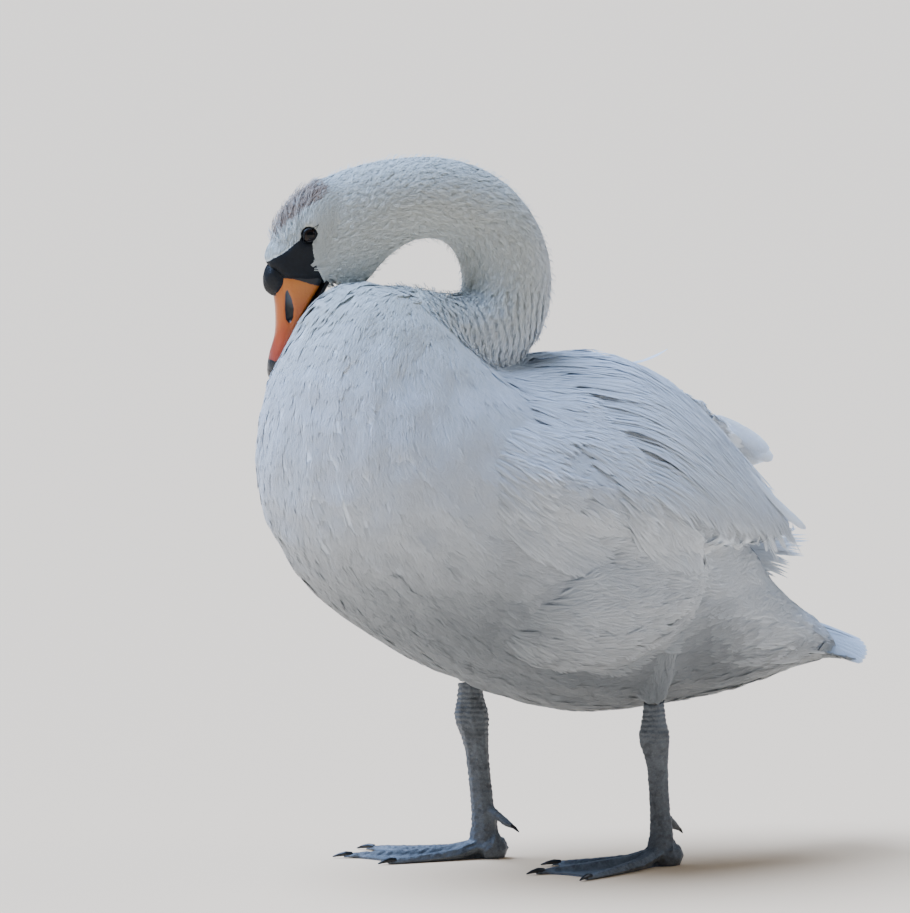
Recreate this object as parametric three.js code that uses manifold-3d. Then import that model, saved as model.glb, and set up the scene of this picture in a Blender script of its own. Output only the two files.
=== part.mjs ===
// A mute swan, life size, standing at rest with its neck looped back over its shoulders and its bill
// held down against its breast. Millimetres; +X is the bird's front, +Y its left side and +Z up.
// The soles of both feet stand on Z = 0.
import * as THREE from "three";
import { mergeVertices } from "three/addons/utils/BufferGeometryUtils.js";
import Module from "manifold-3d";

const wasm = await Module();
wasm.setup();

// ---------------------------------------------------------------- driving dimensions

const GAP = 0.35; // left between two pieces that meet
const NECK_YAW = -19; // the upper neck and head swing this far to the bird's right, in degrees
const HEAD_PITCH = 74; // the bill points this far below the horizon
const HEAD_AT = [192, -67, 644]; // middle of the head, level with the eyes
const BILL_ROOT = 50; // from there to where the bill's horn begins
const EYE_RADIUS = 8.6;
const EYE_SPREAD = 22.5; // from the head's middle plane to the eyeball's centre
const TOE_LENGTHS = { inner: 110, middle: 143, outer: 135 };
const TOE_SPREAD = 27; // degrees between neighbouring toes
const WEB_THICKNESS = 2.4;
const TARSUS_FROM_GROUND = 22;
const BREAST_AHEAD_OF = 40; // the breast and the trunk part at this X
const CENTRE = [-85.7, -10.3]; // middle of the whole bird's plan, moved to the origin at the end

// ---------------------------------------------------------------- finishes

const finish = (name, color, roughness) =>
  new THREE.MeshStandardMaterial({ name, color, roughness, metalness: 0 });
const whitePlumage = finish("white plumage", 0xe6eaee, 0.9);
const creamPlumage = finish("cream plumage", 0xe9e4d6, 0.9);
const blackSkin = finish("bare black skin", 0x1d2027, 0.55);
const orangeHorn = finish("orange bill", 0xd9713c, 0.45);
const blackHorn = finish("black horn", 0x17181b, 0.4);
const darkEye = finish("eye", 0x1a1210, 0.05);
const greySkin = finish("grey leg skin", 0x4a5158, 0.6);

// ---------------------------------------------------------------- forms

const { cos, sin, abs, sign, min, max, round, PI } = Math;
const radians = THREE.MathUtils.degToRad;
const vec = (x, y, z) => new THREE.Vector3(x, y, z);
const centreOf = (points) => points.reduce((sum, p) => sum.add(p), vec(0, 0, 0)).divideScalar(points.length);
const steps = (count) => Array.from({ length: count }, (_, i) => i / (count - 1));

// A smooth curve through rows of numbers, read at t = 0 for the first row and 1 for the last.
function through(rows) {
  const slope = (i, k) => {
    const before = rows[max(i - 1, 0)];
    const after = rows[min(i + 1, rows.length - 1)];
    return (after[k] - before[k]) / (i === 0 || i === rows.length - 1 ? 1 : 2);
  };
  return (t) => {
    const along = min(max(t, 0), 1) * (rows.length - 1);
    const i = min(Math.floor(along), rows.length - 2);
    const s = along - i;
    const from = [2 * s ** 3 - 3 * s ** 2 + 1, s ** 3 - 2 * s ** 2 + s];
    const to = [3 * s ** 2 - 2 * s ** 3, s ** 3 - s ** 2];
    const leaving = (k) => from[0] * rows[i][k] + from[1] * slope(i, k);
    const reaching = (k) => to[0] * rows[i + 1][k] + to[1] * slope(i + 1, k);
    return rows[i].map((_, k) => leaving(k) + reaching(k));
  };
}

// The way a smooth curve runs at t, read from its first three numbers.
function courseOf(at, t) {
  const [x1, y1, z1] = at(t + 0.01);
  const [x0, y0, z0] = at(t - 0.01);
  return vec(x1 - x0, y1 - y0, z1 - z0).normalize();
}

// One closed ring of points round a centre: rise and drop are its reach above and below that centre.
function ring(centre, side, up, halfWidth, rise, drop, sides, power = 2) {
  return Array.from({ length: sides }, (_, j) => {
    const turn = (2 * PI * j) / sides;
    const across = sign(cos(turn)) * abs(cos(turn)) ** (2 / power);
    const height = sign(sin(turn)) * abs(sin(turn)) ** (2 / power);
    return centre
      .clone()
      .addScaledVector(side, across * halfWidth)
      .addScaledVector(up, height * (height > 0 ? rise : drop));
  });
}

// The closed skin over a row of rings, drawn in to a point at each end.
function loft(rings, firstPoint = centreOf(rings[0]), lastPoint = centreOf(rings.at(-1))) {
  const sides = rings[0].length;
  const points = [...rings.flat(), firstPoint, lastPoint];
  const first = points.length - 2;
  const last = points.length - 1;
  const index = [];
  for (let j = 0; j < sides; j++) {
    const next = (j + 1) % sides;
    index.push(first, next, j);
    for (let i = 0; i < rings.length - 1; i++) {
      const a = i * sides;
      const b = a + sides;
      index.push(a + j, a + next, b + j, a + next, b + next, b + j);
    }
    const end = (rings.length - 1) * sides;
    index.push(last, end + j, end + next);
  }
  return solidOf(new THREE.BufferGeometry().setFromPoints(points).setIndex(index));
}

function solidOf(geometry) {
  const bare = geometry.clone();
  bare.deleteAttribute("normal");
  bare.deleteAttribute("uv");
  const merged = mergeVertices(bare, 1e-4);
  const vertProperties = merged.attributes.position.array;
  const triVerts = new Uint32Array(merged.index.array);
  const solid = new wasm.Manifold(new wasm.Mesh({ numProp: 3, vertProperties, triVerts }));
  if (solid.volume() > 0) return solid;
  triVerts.reverse();
  return new wasm.Manifold(new wasm.Mesh({ numProp: 3, vertProperties, triVerts }));
}

function geometryOf(solid) {
  const mesh = solid.getMesh();
  return new THREE.BufferGeometry()
    .setAttribute("position", new THREE.BufferAttribute(mesh.vertProperties, 3))
    .setIndex(new THREE.BufferAttribute(mesh.triVerts, 1));
}

const placed = (solid, matrix) => solidOf(geometryOf(solid).applyMatrix4(matrix));
const joined = (...solids) => solids.reduce((whole, part) => whole.add(part));
const largest = (solid) => solid.decompose().reduce((a, b) => (a.volume() >= b.volume() ? a : b));
const less = (solid, ...cutters) => largest(cutters.reduce((rest, cutter) => rest.subtract(cutter), solid));
const block = (size, centre) => solidOf(new THREE.BoxGeometry(...size).translate(...centre));

// An egg: a ball with its own half sizes along X, Y and Z, and a matrix to place it.
function egg(size, centre, detail = 16, matrix = new THREE.Matrix4()) {
  const sphere = new THREE.SphereGeometry(1, detail, round(detail * 0.6));
  sphere.scale(...size).translate(...centre).applyMatrix4(matrix);
  return solidOf(sphere);
}

// A tapering limb along points [x, y, z, half width across, half depth along the heading].
function limb(rows, heading, count, sides, grow = 0) {
  const at = through(rows);
  const forward = vec(cos(radians(heading)), sin(radians(heading)), 0);
  const rings = steps(count).map((t) => {
    const [x, y, z, halfWidth, halfDepth] = at(t);
    const axis = courseOf(at, t);
    const side = axis.clone().cross(forward).normalize();
    const depth = side.clone().cross(axis).normalize();
    return ring(vec(x, y, z), side, depth, halfWidth + grow, halfDepth + grow, halfDepth + grow, sides);
  });
  return loft(rings);
}

// ---------------------------------------------------------------- breast and trunk

// Sections from the top of the crop, fanned round the shoulders and on to the tail's root: x and z of
// the section's upper edge, x and z of its lower edge, and its half width.
const BODY = [
  [118, 584, 182, 587, 36],
  [94, 566, 206, 571, 58],
  [70, 543, 228, 544, 80],
  [46, 520, 246, 508, 100],
  [26, 505, 257, 464, 119],
  [10, 497, 260, 416, 135],
  [-2, 493, 252, 366, 147],
  [-10, 491, 230, 320, 155],
  [-16, 490, 192, 276, 159],
  [-24, 489, 138, 236, 160],
  [-34, 488, 72, 200, 158],
  [-48, 487, 4, 173, 152],
  [-78, 483, -60, 154, 142],
  [-122, 470, -125, 149, 124],
  [-168, 442, -185, 153, 106],
  [-216, 394, -236, 159, 92],
  [-262, 334, -282, 167, 75],
  [-306, 280, -325, 176, 58],
  [-348, 246, -360, 184, 47],
  [-370, 234, -380, 188, 42],
];
const BODY_RINGS = 24;
const BODY_SIDES = 20;

function bodyForm(grow = 0) {
  const at = through(BODY);
  const rings = steps(BODY_RINGS).map((t) => {
    const [upperX, upperZ, lowerX, lowerZ, half] = at(t);
    const upper = vec(upperX, 0, upperZ);
    const lower = vec(lowerX, 0, lowerZ);
    const middle = lower.clone().lerp(upper, 0.48);
    const up = upper.clone().sub(lower).normalize();
    const rise = middle.distanceTo(upper) + grow;
    const drop = middle.distanceTo(lower) + grow;
    return ring(middle, vec(0, 1, 0), up, half + grow, rise, drop, BODY_SIDES, 2.1);
  });
  return loft(rings, vec(150, 0, 594 + grow), vec(-384 - grow, 0, 210));
}

// ---------------------------------------------------------------- neck

// The neck's middle line from the crop, back, up and over to the head: x, y, z, half width, then the
// half depths outside the loop and inside it.
const NECK = [
  [150, 0, 545, 52, 44, 44],
  [112, 0, 546, 50, 46, 44],
  [72, 0, 538, 48, 47, 42],
  [34, -1, 540, 48, 50, 40],
  [6, -2, 556, 49, 52, 40],
  [-6, -4, 588, 49, 49, 43],
  [-2, -6, 622, 48, 46, 45],
  [18, -11, 652, 46, 44, 43],
  [50, -20, 669, 44, 43, 41],
  [86, -32, 672, 42, 42, 43],
  [120, -43, 663, 39, 47, 49],
  [150, -53, 647, 35, 52, 58],
  [172, -61, 628, 29, 42, 62],
  [186, -65, 606, 23, 20, 56],
];
const NECK_CUTS = [0, 0.35, 0.61, 1]; // where the three lengths of neck part
const NECK_SEAM = 0.0006; // half the gap between two lengths, as a share of the neck

function neckForm(from, to, grow = 0) {
  const at = through(NECK);
  const rings = steps(round((to - from) * 28) + 1).map((share) => {
    const t = from + (to - from) * share;
    const [x, y, z, halfWidth, outside, inside] = at(t);
    const axis = courseOf(at, t);
    const yaw = radians(NECK_YAW) * min(1, t * 2);
    const side = vec(-sin(yaw), cos(yaw), 0);
    side.addScaledVector(axis, -side.dot(axis)).normalize();
    const up = axis.clone().cross(side).normalize();
    return ring(vec(x, y, z), side, up, halfWidth + grow, outside + grow, inside + grow, 16);
  });
  const middleAt = (t) => vec(...at(t).slice(0, 3));
  return loft(rings, middleAt(from), middleAt(to));
}

// ---------------------------------------------------------------- head

// The head is drawn in a frame of its own: +X towards the bill's tip, +Y left and +Z the crown,
// from a point midway between the eyes.
const headMatrix = (() => {
  const yaw = radians(NECK_YAW);
  const ahead = vec(cos(yaw), sin(yaw), 0);
  const pitch = radians(HEAD_PITCH);
  const forward = ahead.clone().multiplyScalar(cos(pitch)).add(vec(0, 0, -sin(pitch)));
  const crown = ahead.clone().multiplyScalar(sin(pitch)).add(vec(0, 0, cos(pitch)));
  const left = crown.clone().cross(forward);
  return new THREE.Matrix4().makeBasis(forward, left, crown).setPosition(...HEAD_AT);
})();

// A form along the head's X: x, top, bottom, half width. belt is the height share of the widest line
// and tips how far the two ends bulge.
function headLoft(rows, { count, sides, power, belt, tips }, grow = 0) {
  const at = through(rows);
  const rings = steps(count).map((t) => {
    const [x, top, bottom, half] = at(t);
    const middle = vec(x, 0, bottom + (top - bottom) * belt);
    const rise = top - middle.z + grow;
    const drop = middle.z - bottom + grow;
    return ring(middle, vec(0, 1, 0), vec(0, 0, 1), half + grow, rise, drop, sides, power);
  });
  const tip = ([x, top, bottom], push) => vec(x + push, 0, bottom + (top - bottom) * belt);
  return placed(loft(rings, tip(rows[0], -tips[0] - grow), tip(rows.at(-1), tips[1] + grow)), headMatrix);
}

const SKULL = [
  [-56, -22, -40, 8],
  [-52, -2, -48, 20],
  [-40, 12, -54, 27],
  [-22, 23, -56, 31],
  [-2, 29, -54, 31],
  [16, 31, -50, 27.5],
  [32, 28, -46, 23.5],
  [43, 21, -43, 21],
  [BILL_ROOT, 15, -41, 18.5],
];
const skullForm = (grow = 0) =>
  headLoft(SKULL, { count: 11, sides: 16, power: 2.1, belt: 0.5, tips: [3, 0] }, grow);

// The upper half of the bill, its flat palate along the lower line.
const UPPER_BILL = [
  [BILL_ROOT + GAP, 14, -33, 18],
  [64, 11, -29, 17],
  [84, 3, -23, 15.8],
  [108, -3.6, -17.5, 15.8],
  [130, -4.2, -14.2, 15.6],
  [144, -6, -13.6, 11.5],
  [150, -8.5, -13.2, 6.5],
];
const upperBillForm = (grow = 0) =>
  headLoft(UPPER_BILL, { count: 8, sides: 12, power: 2.3, belt: 0.18, tips: [0, 1.6] }, grow);

// The lower half, a shallow trough under the upper.
const LOWER_BILL = [
  [BILL_ROOT + GAP, -33.4, -40.5, 14.5],
  [64, -29.8, -37, 14.2],
  [84, -23.8, -30.5, 13.6],
  [108, -18.4, -24, 13.2],
  [130, -15.2, -19.6, 12.2],
  [143, -14.6, -17.4, 8.5],
];
const lowerBillForm = (grow = 0) =>
  headLoft(LOWER_BILL, { count: 8, sides: 12, power: 2.4, belt: 0.72, tips: [0, 2] }, grow);

const knobForm = (grow = 0) => egg([20 + grow, 13 + grow, 14.5 + grow], [52, 0, 9.5], 12, headMatrix);
const nailForm = (grow = 0) => egg([13 + grow, 8 + grow, 12 + grow], [149, 0, -8], 10, headMatrix);
const eyeForm = (hand, grow = 0) => {
  const radius = EYE_RADIUS + grow;
  return egg([radius, radius, radius], [4.5, hand * EYE_SPREAD, -4.5], 10, headMatrix);
};

// ---------------------------------------------------------------- wings and tail

// A folded wing: x, then the upper edge's y and z, the lower edge's y and z, and the outward bulge.
const WING = [
  [104, 44, 478, 136, 412, 30],
  [78, 18, 486, 160, 384, 42],
  [20, -6, 495, 172, 356, 50],
  [-50, -14, 504, 168, 338, 52],
  [-120, -16, 508, 150, 326, 50],
  [-180, -12, 488, 126, 318, 42],
  [-232, -4, 446, 104, 316, 31],
  [-278, 12, 396, 80, 320, 18],
  [-312, 30, 356, 62, 326, 8],
];
const WING_SETS = {
  left: { hand: 1, lift: 0, long: 0 },
  right: { hand: -1, lift: 50, long: 26 },
};
const WING_RINGS = 11;
const WING_SIDES = 13;

// hand is 1 on the left and -1 on the right; lift and long raise and draw out the wing's tip.
function wingForm({ hand, lift, long }) {
  const at = through(WING);
  const rings = steps(WING_RINGS).map((t) => {
    const [x, upperY, upperZ, lowerY, lowerZ, bulge] = at(t);
    const tipward = max(0, (t - 0.55) / 0.45);
    const shift = vec(-long * tipward, 0, lift * tipward ** 2);
    const upper = vec(x, hand * upperY, upperZ).add(shift);
    const lower = vec(x, hand * lowerY, lowerZ).add(shift);
    const up = upper.clone().sub(lower).normalize();
    const out = vec(0, hand * up.z, -hand * up.y);
    const half = upper.distanceTo(lower) / 2;
    return ring(upper.clone().lerp(lower, 0.5), up, out, half, bulge, min(bulge, 14), WING_SIDES);
  });
  return loft(rings, centreOf(rings[0]).add(vec(6, 0, 0)), centreOf(rings.at(-1)).add(vec(-4, 0, 0)));
}

// A long flat feather: its root, tip, half width and half thickness.
function quill(root, tip, halfWidth, halfThickness) {
  const run = vec(...tip).sub(vec(...root)).normalize();
  const side = vec(0, 1, 0).addScaledVector(run, -run.y).normalize();
  const up = run.clone().cross(side).normalize();
  const outline = [
    [0, 0.75],
    [0.35, 1],
    [0.75, 1],
    [0.93, 0.66],
    [1, 0.25],
  ];
  const rings = outline.map(([share, width]) => {
    const thick = halfThickness * (1 - 0.6 * share);
    return ring(vec(...root).lerp(vec(...tip), share), side, up, halfWidth * width, thick, thick, 6);
  });
  return loft(rings);
}

// The tail: a closed fan of flight feathers, arched across and stacked towards the middle pair.
const TAIL_PAIRS = 3;
const tailForm = () =>
  joined(
    ...Array.from({ length: 2 * TAIL_PAIRS + 1 }, (_, i) => {
      const share = (i - TAIL_PAIRS) / TAIL_PAIRS;
      const root = [-330, share * 26, 232 - abs(share) * 24];
      const tip = [-431 + share * share * 30, share * 50, 198 - abs(share) * 9];
      return quill(root, tip, 19, 7);
    }),
  );

// ---------------------------------------------------------------- legs

const LEGS = {
  left: { hand: 1, ankle: [-145, 72], hock: [-137, 73, 130], knee: [-122, 84, 240], heading: -4 },
  right: { hand: -1, ankle: [-27, -72], hock: [-14, -74, 144], knee: [-6, -84, 240], heading: -32 },
};

// The loose feathers of the flank, over the thigh: half sizes, and the middle on the left side.
const FLANK = [140, 64, 92];
const FLANK_AT = [-34, 98, 296];
const flankForm = (hand, grow = 0) => {
  const [x, y, z] = FLANK_AT;
  return egg(FLANK.map((half) => half + grow), [x, hand * y, z], 16);
};

// The feathers round the shin, from the belly down to just above the hock.
function shinForm({ hand, hock, knee }, grow = 0) {
  const [hx, hy, hz] = hock;
  const rows = [
    [knee[0] + 14, knee[1], 276, 42, 46],
    [knee[0] + 2, knee[1] + hand * 2, 240, 32, 36],
    [(knee[0] + hx) / 2, (knee[1] + hy) / 2, hz + 68, 20, 22],
    [hx + 3, hy, hz + 36, 12.5, 14],
  ];
  return limb(rows, 0, 7, 12, grow);
}

// The bare shin, the hock and the tarsus, down to the spread of the toes. A row is a share of the way
// up from the ankle to the hock, a push forward, a half width and a half depth.
const SHANK = [
  [-0.1, 4, 9.5, 16],
  [0.06, 0, 9, 14.5],
  [0.2, 0, 7.6, 12],
  [0.5, 0, 7.2, 11.4],
  [0.78, 0, 8, 12.4],
  [0.93, 1, 11, 16.4],
  [1.04, 2, 11.6, 17.4],
  [1.18, 1, 9.6, 13],
  [1.34, 0, 9, 11.6],
];

function shankForm({ ankle, hock, knee, heading }, grow = 0) {
  const [ax, ay] = ankle;
  const [hx, hy, hz] = hock;
  const ahead = vec(cos(radians(heading)), sin(radians(heading)), 0);
  const rows = SHANK.map(([share, push, halfWidth, halfDepth]) => [
    ax + (hx - ax) * share + ahead.x * push,
    ay + (hy - ay) * share + ahead.y * push,
    TARSUS_FROM_GROUND + (hz - TARSUS_FROM_GROUND) * share,
    halfWidth,
    halfDepth,
  ]);
  const insideShin = [(knee[0] + hx * 2) / 3, (knee[1] + hy * 2) / 3, hz + 62, 9, 11.6];
  return limb([...rows, insideShin], heading, 13, 8, grow);
}

// Along one toe, from behind the ankle to the root of its claw: share of its length, height of its
// middle, and how far it swells at a joint or narrows between two.
const TOE = [
  [-0.1, 17, 1.25],
  [0.05, 14, 1.2],
  [0.3, 5.6, 1.12],
  [0.6, 3.1, 0.96],
  [0.88, 2.1, 0.72],
  [1, 2, 0.45],
];

function toeForm([ax, ay], { heading, length, radius }) {
  const turn = radians(heading);
  const rings = TOE.map(([share, height, swell]) => {
    const middle = vec(ax + cos(turn) * length * share, ay + sin(turn) * length * share, height);
    const half = radius * swell;
    return ring(middle, vec(-sin(turn), cos(turn), 0), vec(0, 0, 1), half, half, min(half, height), 6);
  });
  return loft(rings);
}

const toesOf = ({ hand, heading }) => [
  { name: "inner", heading: heading - hand * TOE_SPREAD, length: TOE_LENGTHS.inner, radius: 6.2 },
  { name: "middle", heading, length: TOE_LENGTHS.middle, radius: 6.8 },
  { name: "outer", heading: heading + hand * TOE_SPREAD, length: TOE_LENGTHS.outer, radius: 6.2 },
];

// The web between two toes: a flat sheet with a hollowed front edge.
function webForm([ax, ay], first, second) {
  const reach = (heading, length) => {
    const turn = radians(heading);
    return [ax + cos(turn) * length, ay + sin(turn) * length];
  };
  const hollow = reach((first.heading + second.heading) / 2, (first.length + second.length) * 0.39);
  const shape = new THREE.Shape();
  shape.moveTo(ax, ay);
  shape.lineTo(...reach(first.heading, first.length * 0.94));
  shape.quadraticCurveTo(...hollow, ...reach(second.heading, second.length * 0.94));
  shape.closePath();
  const sheet = { depth: WEB_THICKNESS, bevelEnabled: false, curveSegments: 5 };
  return solidOf(new THREE.ExtrudeGeometry(shape, sheet));
}

const underground = block([2000, 2000, 100], [0, 0, -50]);

function footForm({ ankle, heading, ...leg }) {
  const toes = toesOf({ heading, ...leg });
  const webs = [webForm(ankle, toes[0], toes[1]), webForm(ankle, toes[1], toes[2])];
  const [back, behind] = [radians(heading), 8];
  const heel = egg([17, 11, 15], [ankle[0] - behind * cos(back), ankle[1] - behind * sin(back), 10], 8);
  return joined(...toes.map((toe) => toeForm(ankle, toe)), ...webs, heel).subtract(underground);
}

// A claw at the end of a toe, curving down to the ground.
function clawForm([ax, ay], { heading, length }, grow = 0) {
  const turn = radians(heading);
  const at = (reach, height) => {
    const out = length + reach;
    return vec(ax + cos(turn) * out, ay + sin(turn) * out, height);
  };
  const rows = [
    [-9, 4, 2.7],
    [-2, 4.6, 2.7],
    [5, 3.4, 1.9],
    [11, 1.6, 0.8],
  ];
  const side = vec(-sin(turn), cos(turn), 0);
  const rings = rows.map(([reach, height, radius]) => {
    const half = radius + grow;
    return ring(at(reach, height), side, vec(0, 0, 1), half, half, half, 6);
  });
  return loft(rings, at(-9 - grow, 4), at(12 + grow, 1.3)).subtract(underground);
}

// The hind toe and its claw, set high on the back of the tarsus and clear of the ground: how far out
// each ring is, its height and its radius.
const HIND_TOE = [
  [5, 52, 5],
  [14, 46, 5.2],
  [26, 38, 4.4],
  [33, 34.5, 3],
];
const HIND_CLAW = [
  [30, 36.5, 2.4],
  [37, 32.5, 2],
  [41, 29, 0.8],
];
const HIND_SPLAY = 28; // degrees from straight back, towards the other leg

function hindForm({ hand, ankle, hock, heading }, rows, grow = 0) {
  const turn = radians(heading + 180 + hand * HIND_SPLAY);
  const root = [0, 1].map((k) => ankle[k] + (hock[k] - ankle[k]) * 0.2);
  const side = vec(-sin(turn), cos(turn), 0);
  const rings = rows.map(([reach, z, radius]) => {
    const middle = vec(root[0] + cos(turn) * reach, root[1] + sin(turn) * reach, z);
    return ring(middle, side, vec(0, 0, 1), radius + grow, radius + grow, radius + grow, 6);
  });
  return loft(rings);
}

// ---------------------------------------------------------------- the bird

const swan = new THREE.Group();
swan.name = "mute_swan";

function add(name, solid, material) {
  const mesh = new THREE.Mesh(geometryOf(solid), material);
  mesh.name = name;
  mesh.position.set(-CENTRE[0], -CENTRE[1], 0);
  swan.add(mesh);
}

const face = [upperBillForm(GAP), lowerBillForm(GAP), knobForm(GAP)];
const behindBreast = block([1000, 1000, 1000], [BREAST_AHEAD_OF - 500, 0, 500]);
const aheadOfTrunk = block([1000, 1000, 1000], [BREAST_AHEAD_OF + 500 - GAP, 0, 500]);
add("breast", less(bodyForm(), behindBreast, ...face, nailForm(GAP), skullForm(GAP)), whitePlumage);
add("trunk", less(bodyForm(), aheadOfTrunk), whitePlumage);

const [n0, n1, n2, n3] = NECK_CUTS;
const body = bodyForm(GAP);
add("neck_lower", less(neckForm(n0, n1 - NECK_SEAM), body), creamPlumage);
add("neck_middle", less(neckForm(n1 + NECK_SEAM, n2 - NECK_SEAM), body), creamPlumage);
add("neck_upper", less(neckForm(n2 + NECK_SEAM, n3), body, skullForm(GAP), ...face), creamPlumage);

add("head", less(skullForm(), knobForm(GAP), eyeForm(1, GAP), eyeForm(-1, GAP)), creamPlumage);
add("knob", knobForm(), blackSkin);
add("bill_upper", less(upperBillForm(), knobForm(GAP), nailForm(GAP)), orangeHorn);
add("bill_nail", largest(upperBillForm().intersect(nailForm())), blackHorn);
add("bill_lower", less(lowerBillForm(), upperBillForm(GAP)), blackHorn);
add("eye_left", eyeForm(1), darkEye);
add("eye_right", eyeForm(-1), darkEye);

for (const [name, leg] of Object.entries(LEGS)) {
  const flank = flankForm(leg.hand, GAP);
  add(`flank_${name}`, less(flankForm(leg.hand), body), whitePlumage);
  add(`shin_${name}`, less(shinForm(leg), body, flank), whitePlumage);
  const shank = shankForm(leg, GAP);
  add(`shank_${name}`, less(shankForm(leg), shinForm(leg, GAP), body, flank), greySkin);
  const toes = toesOf(leg);
  const clawSockets = toes.map((toe) => clawForm(leg.ankle, toe, GAP));
  add(`foot_${name}`, less(footForm(leg), shank, ...clawSockets), greySkin);
  for (const toe of toes) add(`claw_${toe.name}_${name}`, clawForm(leg.ankle, toe), blackHorn);
  add(`hind_toe_${name}`, less(hindForm(leg, HIND_TOE), shank, hindForm(leg, HIND_CLAW, GAP)), greySkin);
  add(`claw_hind_${name}`, hindForm(leg, HIND_CLAW), blackHorn);
}

const neckBase = [neckForm(n0, n1 - NECK_SEAM, GAP), neckForm(n1 + NECK_SEAM, n2 - NECK_SEAM, GAP)];
for (const [name, set] of Object.entries(WING_SETS)) {
  const otherSide = block([1000, 1000, 1000], [0, set.hand * (GAP / 2 - 500), 500]);
  const wing = less(wingForm(set), otherSide, body, ...neckBase, flankForm(set.hand, GAP));
  add(`wing_${name}`, wing, whitePlumage);
}
add("tail", less(tailForm(), body), whitePlumage);

export default swan;
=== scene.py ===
import math

import bmesh
import bpy
import numpy as np
from mathutils import Matrix, Vector
from mathutils.bvhtree import BVHTree
from mathutils.kdtree import KDTree


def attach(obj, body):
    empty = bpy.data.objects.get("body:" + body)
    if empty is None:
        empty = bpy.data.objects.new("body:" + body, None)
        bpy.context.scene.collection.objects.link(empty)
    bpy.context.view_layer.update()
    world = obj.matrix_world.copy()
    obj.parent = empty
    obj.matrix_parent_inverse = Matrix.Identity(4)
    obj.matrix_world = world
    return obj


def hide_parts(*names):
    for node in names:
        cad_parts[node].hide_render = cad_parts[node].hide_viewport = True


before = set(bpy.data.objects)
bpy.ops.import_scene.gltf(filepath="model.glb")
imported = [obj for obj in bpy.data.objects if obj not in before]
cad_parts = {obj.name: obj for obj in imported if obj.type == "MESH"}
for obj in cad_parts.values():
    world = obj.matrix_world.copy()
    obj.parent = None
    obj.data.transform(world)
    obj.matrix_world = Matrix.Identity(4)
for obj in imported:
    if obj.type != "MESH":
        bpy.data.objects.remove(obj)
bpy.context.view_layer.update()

MM = 0.001
SEED = 1758

# The bird's own origin, under its standing foot, in the frame's millimetres.
BIRD = np.array([85.7, 10.3, 0.0])

# The head's own frame: between the eyes, along the bill, up to the crown, out to its left.
HEAD_AT = np.array([277.7, -56.7, 644.0])
BILL_WAY = np.array([0.2606, -0.0897, -0.9613])
LEFT_WAY = np.array([0.3255, 0.9455, 0.0])
CROWN_WAY = np.array([0.9089, -0.3129, 0.2756])

# A folded wing: x, then the upper edge's y and z, the lower edge's y and z, and the outward bulge.
WING = np.array([
    (104, 44, 478, 136, 412, 30), (78, 18, 486, 160, 384, 42), (20, -6, 495, 172, 356, 50),
    (-50, -14, 504, 168, 338, 52), (-120, -16, 508, 150, 326, 50), (-180, -12, 488, 126, 318, 42),
    (-232, -4, 446, 104, 316, 31), (-278, 12, 396, 80, 320, 18), (-312, 30, 356, 62, 326, 8),
], float)
# Where the soft side feathers end on the wing: the share along it, and down it.
FLUFF_LINE = ([0.20, 0.27, 0.31, 0.36, 0.44, 0.54], [-0.3, 0.0, 0.17, 0.5, 0.8, 1.05])


def colour(code):
    """An sRGB hex value as the linear colour that shaders take."""
    parts = [int(code[at : at + 2], 16) / 255 for at in (1, 3, 5)]
    return tuple(c / 12.92 if c <= 0.04045 else ((c + 0.055) / 1.055) ** 2.4 for c in parts) + (1.0,)


TIMES, PLUS, LESS = ({"operation": name} for name in ("MULTIPLY", "ADD", "SUBTRACT"))
# Shader nodes: the sockets that values fill in turn, the output that is read, and the usual fields.
PAIR = (0, 1)
NODES = {
    "Attribute": ((), "Fac", {}),
    "Bump": (("Height", "Strength", "Distance"), 0, {}),
    "CombineXYZ": ((0, 1, 2), 0, {}),
    "Mapping": (("Vector", "Scale"), 0, {}),
    "MapRange": (range(5), 0, {"interpolation_type": "SMOOTHSTEP"}),
    "Math": (PAIR, 0, {}),
    "Mix": ((0, 6, 7), 2, {"data_type": "RGBA"}),
    "SeparateColor": ((0,), 0, {}),
    "SeparateXYZ": ((0,), 0, {}),
    "TexCoord": ((), "Object", {}),
    "TexNoise": (("Vector", "Scale", "Detail", "Roughness"), "Fac", {}),
    "TexVoronoi": (("Vector", "Scale"), "Distance", {}),
    "UVMap": ((), 0, {}),
    "VectorMath": (PAIR, 0, {}),
}


def add(tree, kind, *values, out=None, **fields):
    """Adds a shader node, sets its fields, and links or fills its sockets with values. Returns an output."""
    sockets, usual_out, usual = NODES[kind]
    node = tree.nodes.new("ShaderNode" + kind)
    for field, value in {**usual, **fields}.items():
        setattr(node, field, value)
    for at, value in zip(sockets, values):
        if isinstance(value, bpy.types.NodeSocket):
            tree.links.new(value, node.inputs[at])
        else:
            node.inputs[at].default_value = colour(value) if isinstance(value, str) else value
    return node.outputs[usual_out if out is None else out]


def new_object(name, data, *materials):
    thing = bpy.data.objects.new(name, data)
    bpy.context.collection.objects.link(thing)
    for material in materials:
        data.materials.append(material)
    return thing


# ---------------------------------------------------------------- camera, light and floor

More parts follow.
